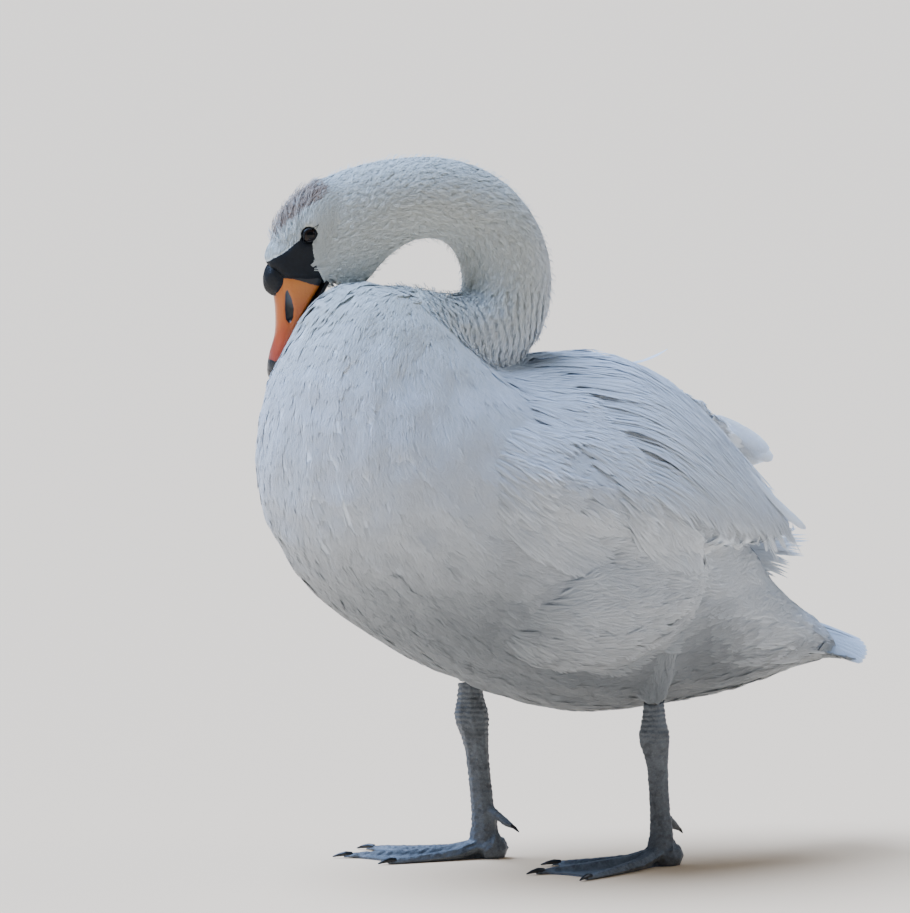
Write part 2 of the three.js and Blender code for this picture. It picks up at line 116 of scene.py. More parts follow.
CAMERA_DISTANCE = 9000.0
CAMERA_TURN, CAMERA_RISE = math.radians(32), math.radians(5)  # from the bird's front to its left, and up
SENSOR_WIDTH = 36
FRAME_WIDTH, FRAME_HEIGHT = 910, 913
ORIGIN_PIXEL = (501, 868)  # where the bird's own origin lies in the frame, at 1 mm a pixel
SKY_FROM, SKY_SPREAD = (0.33, -0.30, 0.9), math.radians(54)  # the broad overhead light
SKY_STRENGTH, WORLD_STRENGTH = 10.9, 0.26
SIDE_FROM, SIDE_SIZE, SIDE_WATTS = (-2.6, 1.4, 2.0), 1.4, 20
CHEST = (0, 0, 0.4)  # metres, where the side light aims
FLOOR_REACH, FLOOR_SIDES = 60.0, 64  # metres, so that the floor alone fills the frame


def set_camera():
    level = math.cos(CAMERA_RISE)
    back = np.array([math.sin(CAMERA_TURN) * level, math.cos(CAMERA_TURN) * level, math.sin(CAMERA_RISE)])
    right = np.array([-math.cos(CAMERA_TURN), math.sin(CAMERA_TURN), 0.0])
    up = np.cross(back, right)
    aside, above = FRAME_WIDTH / 2 - ORIGIN_PIXEL[0], ORIGIN_PIXEL[1] - FRAME_HEIGHT / 2
    target = BIRD + right * aside + up * above
    data = bpy.data.cameras.new("camera")
    data.sensor_width = SENSOR_WIDTH
    data.lens = CAMERA_DISTANCE / FRAME_HEIGHT * SENSOR_WIDTH
    data.clip_end = FLOOR_REACH
    camera = new_object("camera", data)
    place = np.eye(4)
    place[:3, 0], place[:3, 1], place[:3, 2] = right, up, back
    place[:3, 3] = (target + back * CAMERA_DISTANCE) * MM
    camera.matrix_world = Matrix(place.tolist())
    bpy.context.scene.camera = camera


def add_light(name, kind, energy, tint, way, **shape):
    """A light that shines from a way, with the settings of its shape."""
    data = bpy.data.lights.new(name, kind)
    data.energy, data.color = energy, colour(tint)[:3]
    for field, value in shape.items():
        setattr(data, field, value)
    lamp = new_object(name, data)
    lamp.rotation_euler = Vector(way).to_track_quat("Z", "Y").to_euler()
    return lamp


def set_studio():
    world = bpy.data.worlds.new("studio")
    bpy.context.scene.world = world
    world.use_nodes = True
    ground = world.node_tree.nodes["Background"]
    ground.inputs["Color"].default_value = colour("#c4d9f7")
    ground.inputs["Strength"].default_value = WORLD_STRENGTH
    add_light("sky_light", "SUN", SKY_STRENGTH, "#b7d2ff", SKY_FROM, angle=SKY_SPREAD)
    way = Vector(SIDE_FROM) - Vector(CHEST)
    lamp = add_light("side_light", "AREA", SIDE_WATTS, "#e6f0ff", way, shape="DISK", size=SIDE_SIZE)
    lamp.location = SIDE_FROM


def add_floor():
    mesh = bpy.data.meshes.new("floor")
    turns = np.linspace(0, 2 * math.pi, FLOOR_SIDES + 1)[:-1]
    ring = [(FLOOR_REACH * math.cos(a), FLOOR_REACH * math.sin(a), 0) for a in turns]
    mesh.from_pydata(ring, [], [list(range(FLOOR_SIDES))])
    # Painted studio floor, rolled matt: an even pale ground.
    paint = bpy.data.materials.new("matt_floor_paint")
    paint.use_nodes = True
    shader = paint.node_tree.nodes["Principled BSDF"]
    shader.inputs["Base Color"].default_value = colour("#fcd8ae")
    shader.inputs["Roughness"].default_value = 0.9
    new_object("floor", mesh, paint)


set_camera()
set_studio()
add_floor()


# ---------------------------------------------------------------- meshes


def mesh_from(name, points, corners):
    """A mesh from points in millimetres and the corner numbers of its triangles."""
    mesh = bpy.data.meshes.new(name)
    count = len(corners) // 3
    mesh.vertices.add(len(points))
    mesh.vertices.foreach_set("co", (points * MM).astype(np.float32).ravel())
    mesh.loops.add(len(corners))
    mesh.loops.foreach_set("vertex_index", corners.astype(np.int32))
    mesh.polygons.add(count)
    mesh.polygons.foreach_set("loop_start", np.arange(0, len(corners), 3, dtype=np.int32))
    mesh.polygons.foreach_set("use_smooth", np.ones(count, bool))
    mesh.update(calc_edges=True)
    return mesh


def read(items, field, width, kind=np.float32):
    """A field of a mesh's items, in rows of some width."""
    values = np.empty(len(items) * width, kind)
    items.foreach_get(field, values)
    return values.reshape(-1, width)


def points_of(mesh):
    return read(mesh.vertices, "co", 3).astype(float) / MM


def normals_of(mesh):
    return read(mesh.vertex_normals, "vector", 3).astype(float)


def put_points(mesh, points):
    mesh.vertices.foreach_set("co", (points * MM).astype(np.float32).ravel())
    mesh.update()


def put_values(mesh, name, values, kind="FLOAT"):
    layer = mesh.attributes.new(name, kind, "POINT")
    field = "value" if kind == "FLOAT" else "color"
    layer.data.foreach_set(field, np.ascontiguousarray(values, np.float32).ravel())


def merged_copy(names, grow=0.0):
    """One mesh of copies of CAD nodes, their doubles merged, each grown by some millimetres."""
    sheet = bmesh.new()
    for name in names:
        sheet.from_mesh(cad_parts[name].data)
    bmesh.ops.remove_doubles(sheet, verts=sheet.verts, dist=1e-6)
    sheet.normal_update()
    if grow:
        for vertex in sheet.verts:
            vertex.co += vertex.normal * grow * MM
    mesh = bpy.data.meshes.new("copy")
    sheet.to_mesh(mesh)
    sheet.free()
    return mesh


def turned_out(name, points, faces):
    """A smooth closed mesh from points in millimetres, its faces turned outwards."""
    sheet = bmesh.new()
    made = [sheet.verts.new(p * MM) for p in points]
    for row in faces:
        sheet.faces.new([made[c] for c in row])
    bmesh.ops.recalc_face_normals(sheet, faces=sheet.faces)
    mesh = bpy.data.meshes.new(name)
    sheet.to_mesh(mesh)
    sheet.free()
    mesh.shade_smooth()
    return mesh


def fused(names, voxel, rounds, grow=0.4):
    """Copies of CAD nodes remeshed into one closed skin of voxel millimetres, smoothed for some rounds."""
    thing = new_object("fused", merged_copy(names, grow))
    remesh = thing.modifiers.new("remesh", "REMESH")
    remesh.mode, remesh.voxel_size = "VOXEL", voxel * MM
    smooth = thing.modifiers.new("smooth", "SMOOTH")
    smooth.factor, smooth.iterations = 0.5, rounds
    view = bpy.context.evaluated_depsgraph_get()
    mesh = bpy.data.meshes.new_from_object(thing.evaluated_get(view))
    bpy.data.objects.remove(thing)
    mesh.materials.clear()
    mesh.shade_smooth()
    return mesh


def spread(mesh, values, rounds):
    """Evens values out over a mesh's edges."""
    a, b = read(mesh.edges, "vertices", 2, np.int32).T
    size = len(values)
    count = np.maximum(np.bincount(a, minlength=size) + np.bincount(b, minlength=size), 1.0)
    for _ in range(rounds):
        total = np.bincount(a, values[b], size) + np.bincount(b, values[a], size)
        values = 0.5 * values + 0.5 * total / count
    return values


def unit(rows):
    return rows / np.maximum(np.linalg.norm(rows, axis=-1, keepdims=True), 1e-9)


def blend(a, b, share):
    return a + (b - a) * share


def ease(low, high, values):
    """0 under low, 1 over high, and a smooth step between."""
    share = np.clip((values - low) / (high - low), 0, 1)
    return share * share * (3 - 2 * share)


def soft_noise(points, size, seed):
    """Smooth values from -1 to 1 that vary over about size millimetres."""
    rng = np.random.default_rng(seed)
    total = np.zeros(len(points))
    for _ in range(6):
        way = unit(rng.normal(size=3))
        total += np.sin(points @ way * 2 * math.pi / (size * rng.uniform(0.7, 1.5)) + rng.uniform(0, 6.3))
    return total / 3


def on_wing(points):
    """Where points lie along and down a folded wing, each from 0 to 1, seen from the side."""
    x, _, z = (points - BIRD).T
    u = np.interp(-x, -WING[:, 0], np.linspace(0, 1, len(WING)))
    upper, lower = (np.interp(-x, -WING[:, 0], WING[:, column]) for column in (2, 4))
    return u, (upper - z) / (upper - lower)


def side_fluff(points):
    """How far the soft feathers of the breast and side lie over a folded wing: over 0 on them, under 0 on the
    wing's own."""
    u, v = on_wing(points)
    return v - np.interp(u, *FLUFF_LINE)


def in_head(points):
    """Frame millimetres to the head's own: along the bill, to its left, up to the crown."""
    away = points - HEAD_AT
    return np.stack([away @ BILL_WAY, away @ LEFT_WAY, away @ CROWN_WAY], -1)


def from_head(points):
    points = np.asarray(points, float)
    return HEAD_AT + points[..., :1] * BILL_WAY + points[..., 1:2] * LEFT_WAY + points[..., 2:3] * CROWN_WAY


def inside_by(x, y, corners):
    """How far points lie inside an outline, in its own units, negative outside it."""
    corners = np.asarray(corners, float)
    ends = np.roll(corners, -1, 0)
    best = np.full(x.shape, 1e9)
    odd = np.zeros(x.shape, bool)
    for (ax, ay), (bx, by) in zip(corners, ends):
        dx, dy = bx - ax, by - ay
        along = np.clip(((x - ax) * dx + (y - ay) * dy) / (dx * dx + dy * dy), 0, 1)
        best = np.minimum(best, np.hypot(x - ax - along * dx, y - ay - along * dy))
        if ay != by:
            odd ^= ((y >= min(ay, by)) & (y < max(ay, by))) & (x < ax + (y - ay) * dx / dy)
    return np.where(odd, best, -best)


# ---------------------------------------------------------------- markings and painted shade

# Outlines on the side of the face, along the bill and up to the crown, in millimetres.
BARE_FACE = [
    (56, 42), (40.7, 24.5), (36, 21.5), (31, 16.5), (24, 11), (17, 7), (11, 3), (4, 3), (4, -6), (15, -11),
    (24, -15.5), (31, -20), (38, -26), (44, -33), (50, -40), (56, -44),
]
ORANGE = [
    (53, 8.5), (50.8, -2), (50.4, -10), (51, -22), (50.4, -31.5), (57, -31), (68, -27.6), (84, -22.4),
    (100, -18.3), (116, -15.2), (131, -13.2), (134, -8), (131, 14), (100, 16), (80, 16), (71, 7), (66, 9),
    (60, 9.5),
]
NOSTRIL = [
    (60, 0.8), (66.7, 0.4), (82, -3.8), (91, -7), (94.5, -11), (91, -13.4), (87, -13.8), (78, -11.8),
    (69.4, -7),
]


def bare_face(points):
    """Millimetres inside the bare black skin round the bill's base, on either side of the head."""
    head = in_head(points)
    forward, side, crownward = head.T
    near = (forward < 56) & (forward > -20) & (np.abs(side) < 34) & (np.abs(crownward) < 47)
    return np.where(near, inside_by(forward, crownward, BARE_FACE), -60.0)


def stains(points):
    """The plumage's markings at points: cream, rust, and a grey that is silt and painted shade, each from 0 to
    1.
    """
    head = in_head(points)
    x, y, z = (points - BIRD).T
    reach = np.linalg.norm(head, axis=1)
    # Cream from silty water: the head and the neck down to its folded base.
    cream = ease(470, 610, z) * ease(-60, 10, x)
    forward, _, crownward = head.T
    crown = ease(5, 16, crownward - 0.5 * forward) * ease(-62, -26, forward) * ease(31, 16, forward)
    crown *= reach < 90
    nape = ease(150, 95, reach) * ease(-10, -40, forward) * ease(-20, 8, crownward)
    rust = np.clip(crown + 0.3 * nape, 0, 1)
    flank = blend(ease(185, 80, np.abs(y)), 1.0, ease(10, 110, x))
    # Under the belly a grey that is partly a silt stain and mostly painted shade, and a grey that deepens
    # towards the tail's end.
    fore = ease(-280, -40, x)
    below = ease(blend(235, 400, fore), blend(165, 250, fore), z) * ease(-480, -320, x)
    silt_and_shade = below * flank + 0.6 * ease(-325, -375, x)
    return np.stack([cream, rust, silt_and_shade], -1)
# ---------------------------------------------------------------- materials

# How fine and how rough a noise is: its detail and its roughness.
SOFT, FINE, ROUGH = (3.0, 0.55), (4.0, 0.55), (4.0, 0.6)


def new_material(name, roughness, **constants):
    """A material with its tree and its shader, whose plain numbers sit on the shader's own sockets, and Object
    coordinates in millimetres."""
    material = bpy.data.materials.new(name)
    material.use_nodes = True
    tree = material.node_tree
    shader = tree.nodes["Principled BSDF"]
    shader.inputs["Roughness"].default_value = roughness
    for socket, value in constants.items():
        shader.inputs[socket.replace("_", " ")].default_value = value
    place = add(tree, "TexCoord")
    return material, tree, shader, add(tree, "Mapping", place, (1000, 1000, 1000))


def join_up(tree, shader, made, height, strength, distance):
    """Links a finish's colour and its relief to the shader."""
    tree.links.new(made, shader.inputs["Base Color"])
    bump = add(tree, "Bump", height, strength, distance)
    tree.links.new(bump, shader.inputs["Normal"])


def plumage_colour(tree, where):
    """White feather keratin with its markings, the same on the skin and on the coat over it."""
    marks = add(tree, "Attribute", out="Color", attribute_name="tone")
    cream = add(tree, "SeparateColor", marks)
    rust, silt_and_shade = cream.node.outputs[1], cream.node.outputs[2]
    cloud = add(tree, "TexNoise", where, 0.02, *SOFT)
    made = add(tree, "Mix", cloud, "#e2ebf5", "#eef4fb")
    share = add(tree, "Math", cream, 0.72, **TIMES)
    made = add(tree, "Mix", share, made, "#ced0c0")
    # Rust comes in patches about 7 mm across.
    patch = add(tree, "TexNoise", where, 0.14, *SOFT)
    patch = add(tree, "Math", patch, add(tree, "Math", rust, 0.6, **TIMES), **PLUS)
    patch = add(tree, "MapRange", patch, 0.66, 1.1, 0.0, 0.9)
    share = add(tree, "MapRange", rust, 0.0, 0.5)
    share = add(tree, "Math", patch, share, **TIMES)
    made = add(tree, "Mix", share, made, "#7d5526")
    # Painted shade, with some silt, under the belly, and grey towards the tail's end.
    share = add(tree, "Math", silt_and_shade, 0.85, **TIMES)
    made = add(tree, "Mix", share, made, "#525a60")
    # Each feather is a shade lighter or darker than the next.
    share = add(tree, "Math", marks.node.outputs["Alpha"], 0.1, **TIMES)
    return add(tree, "Mix", share, made, "#9faab3")


def make_plumage():
    """Feather keratin, moulted clean: matt, soft, finely streaked along its barbs, with a faint silky sheen."""
    material, tree, shader, where = new_material(
        "white_feather_keratin", 0.7, Sheen_Weight=0.1, Sheen_Roughness=0.5,
        Subsurface_Weight=0.5, Subsurface_Radius=(1.0, 1.0, 1.0), Subsurface_Scale=0.0025,
    )
    across = add(tree, "SeparateXYZ", add(tree, "UVMap", uv_map="Vane"))
    along = across.node.outputs[1]
    # The barbs leave the shaft at a slant, about 0.7 mm apart, drawn at 1.5 mm so that they show.
    slope = add(tree, "Math", add(tree, "Math", across, operation="ABSOLUTE"), 0.9, **TIMES)
    slant = add(tree, "Math", along, slope, **LESS)
    slant = add(tree, "Math", slant, 0.62, **TIMES)
    drift = add(tree, "Math", across, 0.05, **TIMES)
    own = add(tree, "Attribute", attribute_name="own")
    barbs = add(tree, "CombineXYZ", slant, drift, own)
    streak = add(tree, "TexNoise", barbs, 1.0, 2.0, 0.55)
    pale = add(tree, "MapRange", streak, 0.3, 0.7, 0.07, 0.0)
    tint = add(tree, "Mix", pale, plumage_colour(tree, where), "#7f8a92")
    # Painted shade: the part of each feather that the next feathers cover is greyer than the tip.
    tip = add(tree, "Attribute", attribute_name="along")
    covered_shade = add(tree, "Math", 1.0, tip, **LESS)
    covered_shade = add(tree, "MapRange", covered_shade, 0.0, 0.9, 0.0, 0.3)
    tint = add(tree, "Mix", covered_shade, tint, "#8b959c")
    join_up(tree, shader, tint, streak, 0.5, 0.0007)
    return material


def black_skin_colour(tree, where):
    mottle = add(tree, "TexNoise", where, 0.25, *SOFT)
    return add(tree, "Mix", mottle, "#07090d", "#141a22")


def make_skin():
    """The bird's own skin: the plumage's colour under feathers, bare, black and leathery at the face."""
    material, tree, shader, where = new_material("feathered_skin", 0.55, Specular_IOR_Level=0.25)
    ragged = add(tree, "TexNoise", where, 0.6, *FINE)
    ragged = add(tree, "Math", add(tree, "Math", ragged, 0.5, **LESS), 2.4, **TIMES)
    bare = add(tree, "Attribute", attribute_name="bare")
    inside = add(tree, "Math", bare, ragged, **PLUS)
    bare = add(tree, "MapRange", inside, -0.3, 0.5)
    white, black = plumage_colour(tree, where), black_skin_colour(tree, where)
    made = add(tree, "Mix", bare, white, black)
    height = add(tree, "TexNoise", where, 0.5, 5.0, 0.65)
    pores = add(tree, "TexNoise", where, 1.6, *SOFT)
    height = add(tree, "Math", height, add(tree, "Math", pores, 0.3, **TIMES), **PLUS)
    join_up(tree, shader, made, height, 0.5, 0.0012)
    return material


def make_black_skin():
    """Bare black skin of the knob and the eyelids: soft leather with fine pores and a dull shine."""
    material, tree, shader, where = new_material("bare_black_skin", 0.4, Specular_IOR_Level=0.3)
    height = add(tree, "TexNoise", where, 0.35, *ROUGH)
    pores = add(tree, "TexNoise", where, 1.8, *SOFT)
    height = add(tree, "Math", height, add(tree, "Math", pores, 0.4, **TIMES), **PLUS)
    join_up(tree, shader, black_skin_colour(tree, where), height, 0.55, 0.0012)
    return material


def make_bill():
    """Rhamphotheca, the bill's keratin sheath: satin, orange, redder to the tip, black at its edges."""
    gloss = {"Coat_Weight": 0.12, "Coat_Roughness": 0.25}
    material, tree, shader, where = new_material("orange_bill_keratin", 0.36, **gloss)
    way = add(tree, "Attribute", attribute_name="along_bill")
    cloud = add(tree, "TexNoise", where, 0.07, *SOFT)
    cloud = add(tree, "Math", add(tree, "Math", cloud, 0.5, **LESS), 34.0, **TIMES)
    reach = add(tree, "Math", way, cloud, **PLUS)
    warm = "#cb7526"
    for start, end, code in ((52, 84, "#c16427"), (82, 118, "#ab482a"), (112, 142, "#8c3b38")):
        share = add(tree, "MapRange", reach, start, end)
        warm = add(tree, "Mix", share, warm, code)
    drawn = add(tree, "Mapping", where, (1.0, 1.0, 0.12))
    streaks = add(tree, "TexNoise", drawn, 0.5, *SOFT)
    share = add(tree, "MapRange", streaks, 0.45, 0.8, 0.0, 0.3)
    warm = add(tree, "Mix", share, warm, "#b05026")
    speck = add(tree, "TexNoise", where, 0.3, *SOFT)
    black = add(tree, "Mix", speck, "#0f1114", "#24272c")
    ragged = add(tree, "TexNoise", where, 0.35, *SOFT)
    ragged = add(tree, "Math", add(tree, "Math", ragged, 0.5, **LESS), 1.6, **TIMES)
    orange = add(tree, "Attribute", attribute_name="orange")
    inside = add(tree, "Math", orange, ragged, **PLUS)
    orange = add(tree, "MapRange", inside, -0.35, 0.55)
    made = add(tree, "Mix", orange, black, warm)
    # The nostril: near black at its open front end, painted shade for the hole's depth, and slate blue in its
    # upper part.
    front = add(tree, "MapRange", way, 70.0, 80.0)
    inner = add(tree, "Mix", front, "#39434f", "#0b0d11")
    hole = add(tree, "Attribute", attribute_name="nostril")
    hole = add(tree, "MapRange", hole, -0.2, 0.7)
    made = add(tree, "Mix", hole, made, inner)
    height = add(tree, "TexNoise", where, 0.22, *ROUGH)
    height = add(tree, "Math", height, add(tree, "Math", streaks, 0.35, **TIMES), **PLUS)
    join_up(tree, shader, made, height, 0.35, 0.001)
    return material


def make_horn():
    """Black horn of the nail and the claws: hard, faintly grained along its length, semi-gloss."""
    material, tree, shader, where = new_material("black_horn", 0.3)
    drawn = add(tree, "Mapping", where, (1.0, 1.0, 0.3))
    grain = add(tree, "TexNoise", drawn, 0.8, *FINE)
    made = add(tree, "Mix", grain, "#08090a", "#1d1e20")
    join_up(tree, shader, made, grain, 0.3, 0.0006)
    return material


def make_eye():
    """A glass taxidermy eye: near-black brown under clear, polished glass."""
    material, tree, shader, where = new_material(
        "dark_glass_eye", 0.12, IOR=1.5, Specular_IOR_Level=0.22, Coat_Weight=0.0
    )
    away = add(tree, "Attribute", attribute_name="from_pupil")
    fleck = add(tree, "TexNoise", where, 0.9, *SOFT)
    iris = add(tree, "Mix", fleck, "#120b07", "#26170f")
    pupil = add(tree, "MapRange", away, 3.2, 3.9)
    made = add(tree, "Mix", pupil, "#040404", iris)
    rim = add(tree, "MapRange", away, 6.0, 7.0)
    made = add(tree, "Mix", rim, made, "#060607")
    tree.links.new(made, shader.inputs["Base Color"])
    return material


def make_leg_skin():
    """Leathery black leg skin: grey-black scutes with paler worn crests, webs of fine mesh-like scales."""
    material, tree, shader, where = new_material("black_scaled_leg_skin", 0.42)
    # Scales about 1.6 mm across, pushed out of line by a slow wave.
    wave = add(tree, "TexNoise", where, 0.12, out="Color")
    push = add(tree, "VectorMath", wave, (5.0, 5.0, 5.0), **TIMES)
    bent = add(tree, "VectorMath", where, push, **PLUS)
    edge = add(tree, "TexVoronoi", bent, 0.62, feature="DISTANCE_TO_EDGE")
    cells = add(tree, "TexVoronoi", bent, 0.62, out="Color")
    cloud = add(tree, "TexNoise", where, 0.05, *SOFT)
    made = add(tree, "Mix", cloud, "#3b4046", "#697077")
    tone = add(tree, "Math", add(tree, "SeparateColor", cells), 0.2, **TIMES)
    made = add(tree, "Mix", tone, made, "#878e95")
    share = add(tree, "MapRange", edge, -0.35, 0.16)
    made = add(tree, "Mix", share, "#22262a", made)
    blotch = add(tree, "TexNoise", where, 0.09, *ROUGH)
    blotch = add(tree, "MapRange", blotch, 0.5, 0.64, 0.0, 0.45)
    made = add(tree, "Mix", blotch, made, "#1b1f23")
    groove = add(tree, "MapRange", edge, 0.0, 0.16)
    wrinkle = add(tree, "TexNoise", where, 0.22, *ROUGH)
    height = add(tree, "Math", groove, add(tree, "Math", wrinkle, 1.2, **TIMES), **PLUS)
    join_up(tree, shader, made, height, 0.3, 0.0008)
    return material


plumage = make_plumage()
skin_material = make_skin()
black_skin = make_black_skin()
bill_keratin = make_bill()
horn = make_horn()
eye_glass = make_eye()
leg_skin = make_leg_skin()


def finish(thing, slot, *nodes):
    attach(thing, "root")
    if nodes:
        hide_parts(*nodes)


# ---------------------------------------------------------------- the skin

SIDES = (("left", 1), ("right", -1))
FLESH = ["breast", "trunk", "neck_lower", "neck_middle", "neck_upper", "head", "tail"]
FLESH += [part + side for part in ("wing_", "flank_", "shin_") for side, _ in SIDES]
COAT_DEPTH = {
    "breast": 2.4, "trunk": 2.4, "flank": 4.4, "wing": 4.2, "tail": 4, "shin": 2.4,
    "neck_lower": 3.5, "neck_middle": 3.2, "neck_upper": 2.6, "head": 1.4,
}


class Forms:
    """Which CAD node is nearest to a point."""

    def __init__(self, names):
        points, faces, self.owner = [], [], []
        for name in names:
            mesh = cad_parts[name].data
            start = len(points)
            points += [vertex.co / MM for vertex in mesh.vertices]
            for face in mesh.polygons:
                faces.append([start + corner for corner in face.vertices])
                self.owner.append(name)
        self.tree = BVHTree.FromPolygons(points, faces)

    def nearest(self, points):
        return np.array([self.owner[self.tree.find_nearest(Vector(p))[2]] for p in points])


def kind_of(name):
    """A node's name without its side."""
    return name.replace("_left", "").replace("_right", "")


forms = Forms(FLESH)
EYE_AT, EYE_SPREAD, EYE_RADIUS = (4.5, -4.5), 22.0, 8.0
KNOB_AT, KNOB_RADII = (52, 0, 9.5), (20, 12.8, 14.3)
CREST_AT = (192, -8, 587)  # in the bird's own millimetres, under the bill's edge
SKIN_VOXEL, SKIN_ROUNDS = 3.9, 14
# The part of the skin that is cut finer: its middle, its radius, and its rim that stays unsmoothed.
HEAD_MIDDLE, HEAD_REFINED, HEAD_RIM = (14, 0, -8), 84.0, 4.0
SHOULDER_ROUNDS, DEPTH_ROUNDS = 60, 12
CROWN_DEPTH, CREST_RISE = 5.5, 2.4
BARE_DEPTH = 0.4
WAVE_HEIGHT, WAVE_SIZE = 1.3, 42
KNOB_SWELL, KNOB_REACH = 6.4, 16


def crown_share(points):
    """Where the crown's feathers stand up, from 0 to 1."""
    x, _, z = in_head(points).T
    return ease(-4, 14, z - 0.1 * x) * ease(30, 18, x) * ease(-85, -45, x)


def crest_share(points):
    """Where the breast's feathers stand up under the bill's edge, from 0 to 1."""
    return ease(54, 16, np.linalg.norm(points - BIRD - CREST_AT, axis=1))


def shoulder_share(points):
    """Where the body flows into the front and lower edges of a folded wing, from 0 to 1."""
    x, y, _ = (points - BIRD).T
    u, v = on_wing(points)
    front = ease(44, 14, np.abs(x - 100)) * ease(1.6, 1.2, v) * ease(-0.5, -0.2, v)
    lower = ease(0.36, 0.14, np.abs(v - 1)) * ease(0.6, 0.46, u) * ease(130, 90, x)
    return np.maximum(front, lower) * ease(20, 45, np.abs(y))


def make_body_skin():
    mesh = fused(FLESH, SKIN_VOXEL, SKIN_ROUNDS)
    # The head's part is cut twice as fine.
    sheet = bmesh.new()
    sheet.from_mesh(mesh)
    middle = Vector(from_head(HEAD_MIDDLE) * MM)
    edges = [e for e in sheet.edges if (e.verts[0].co - middle).length < HEAD_REFINED * MM]
    bmesh.ops.subdivide_edges(sheet, edges=edges, cuts=1, use_grid_fill=True)
    near = [v for v in sheet.verts if (v.co - middle).length < (HEAD_REFINED - HEAD_RIM) * MM]
    axes = {"use_axis_" + axis: True for axis in "xyz"}
    for _ in range(2):
        bmesh.ops.smooth_vert(sheet, verts=near, factor=0.5, **axes)
    bmesh.ops.triangulate(sheet, faces=sheet.faces)
    sheet.to_mesh(mesh)
    sheet.free()
    mesh.shade_smooth()
    points = points_of(mesh)
    evened = np.stack([spread(mesh, column, SHOULDER_ROUNDS) for column in points.T], -1)
    put_points(mesh, blend(points, evened, shoulder_share(points)[:, None]))
    points, normals = points_of(mesh), normals_of(mesh)
    kinds = [kind_of(name) for name in forms.nearest(points)]
    depth = np.array([COAT_DEPTH[kind] for kind in kinds], float)
    # The feathers of the breast and side lie in soft, uneven waves, longer across than down.
    waved = spread(mesh, np.isin(kinds, ["breast", "trunk", "flank"]).astype(float), DEPTH_ROUNDS)
    depth -= WAVE_HEIGHT * soft_noise(points * (1, 1, 2), WAVE_SIZE, SEED + 6) * waved
    depth += CROWN_DEPTH * crown_share(points)
    depth -= CREST_RISE * crest_share(points)
    depth = np.where(bare_face(points) > -2, BARE_DEPTH, depth)
    depth = spread(mesh, depth, DEPTH_ROUNDS)
    # The bare skin swells up to meet the knob.
    head = in_head(points)
    away = (np.linalg.norm((head - KNOB_AT) / KNOB_RADII, axis=1) - 1) * min(KNOB_RADII)
    swell = KNOB_SWELL * np.clip(1 - away / KNOB_REACH, 0, 1) ** 2
    swell *= ease(-6, 0, away) * ease(56, 46, head[:, 0])
    put_points(mesh, points - normals * (depth - swell)[:, None])
    return mesh


def eye_distance(points, least=12.0, most=40.0):
    """Millimetres from the axis through both eyes, on the sides of the head, up to a most."""
    head = in_head(points)
    away = np.hypot(head[:, 0] - EYE_AT[0], head[:, 2] - EYE_AT[1])
    return np.where((np.abs(head[:, 1]) > least) & (away < most), away, most)


BARE_EYE_RING = 8.4
skin_mesh = make_body_skin()
skin = new_object("skin", skin_mesh, skin_material)
skin_points, skin_normals = points_of(skin_mesh), normals_of(skin_mesh)
skin_tone = np.concatenate([stains(skin_points), np.full((len(skin_points), 1), 0.5)], 1)
put_values(skin_mesh, "tone", skin_tone, "FLOAT_COLOR")
bare_ring = BARE_EYE_RING - eye_distance(skin_points)
put_values(skin_mesh, "bare", np.maximum(bare_face(skin_points), bare_ring))


PATCH_ANGLE, PATCH_MARGIN = math.radians(70), 0.004


def unwrap(thing):
    bpy.context.view_layer.objects.active = thing
    thing.select_set(True)
    thing.data.uv_layers.new(name="OFBake")
    bpy.ops.object.mode_set(mode="EDIT")
    bpy.ops.mesh.select_all(action="SELECT")
    bpy.ops.uv.smart_project(angle_limit=PATCH_ANGLE, island_margin=PATCH_MARGIN)
    bpy.ops.object.mode_set(mode="OBJECT")
    thing.select_set(False)


unwrap(skin)
finish(skin, "white_plumage", *FLESH)
skin_faces = read(skin_mesh.loops, "vertex_index", 1, np.int32).reshape(-1, 3)
skin_uv = read(skin_mesh.uv_layers["OFBake"].data, "uv", 2).reshape(-1, 3, 2).astype(float)
skin_tree = BVHTree.FromPolygons(skin_points.tolist(), skin_faces.tolist())


def on_skin(points):
    """The skin's nearest place and its outward way at each point."""
    places, ways = np.empty_like(points), np.empty_like(points)
    for at, point in enumerate(points):
        place, way, _, _ = skin_tree.find_nearest(Vector(point))
        places[at], ways[at] = place, way
    return places, ways


# ---------------------------------------------------------------- bill, knob, eyes and lids


def curve_rows(rows, count):
    """Rows of a table carried through by a smooth curve, at even steps of the first value."""
    rows = np.asarray(rows, float)
    x = rows[:, 0]
    slopes = np.gradient(rows, x, axis=0)
    at = np.linspace(x[0], x[-1], count)
    k = np.clip(np.searchsorted(x, at) - 1, 0, len(x) - 2)
    h = (x[k + 1] - x[k])[:, None]
    t = ((at - x[k]) / h[:, 0])[:, None]
    a = rows[k] * (2 * t**3 - 3 * t**2 + 1) + slopes[k] * h * (t**3 - 2 * t**2 + t)
    return a + rows[k + 1] * (3 * t**2 - 2 * t**3) + slopes[k + 1] * h * (t**3 - t**2)


def grid_faces(rings, sides):
    """Corner numbers of the quads between closed rings of points."""
    i, j = np.meshgrid(np.arange(rings - 1), np.arange(sides), indexing="ij")
    k = (j + 1) % sides
    return np.stack([i * sides + j, i * sides + k, (i + 1) * sides + k, (i + 1) * sides + j], -1).reshape(-1, 4)


def tube_mesh(name, rings, near_pole, far_pole):
    """A closed mesh over rings of points, with a pole at each end."""
    count, sides = rings.shape[:2]
    faces = grid_faces(count, sides).tolist()
    last = (count - 1) * sides
    for j in range(sides):
        k = (j + 1) % sides
        faces += [(-2, k, j), (-1, last + j, last + k)]
    return turned_out(name, np.concatenate([rings.reshape(-1, 3), [near_pole, far_pole]]), faces)


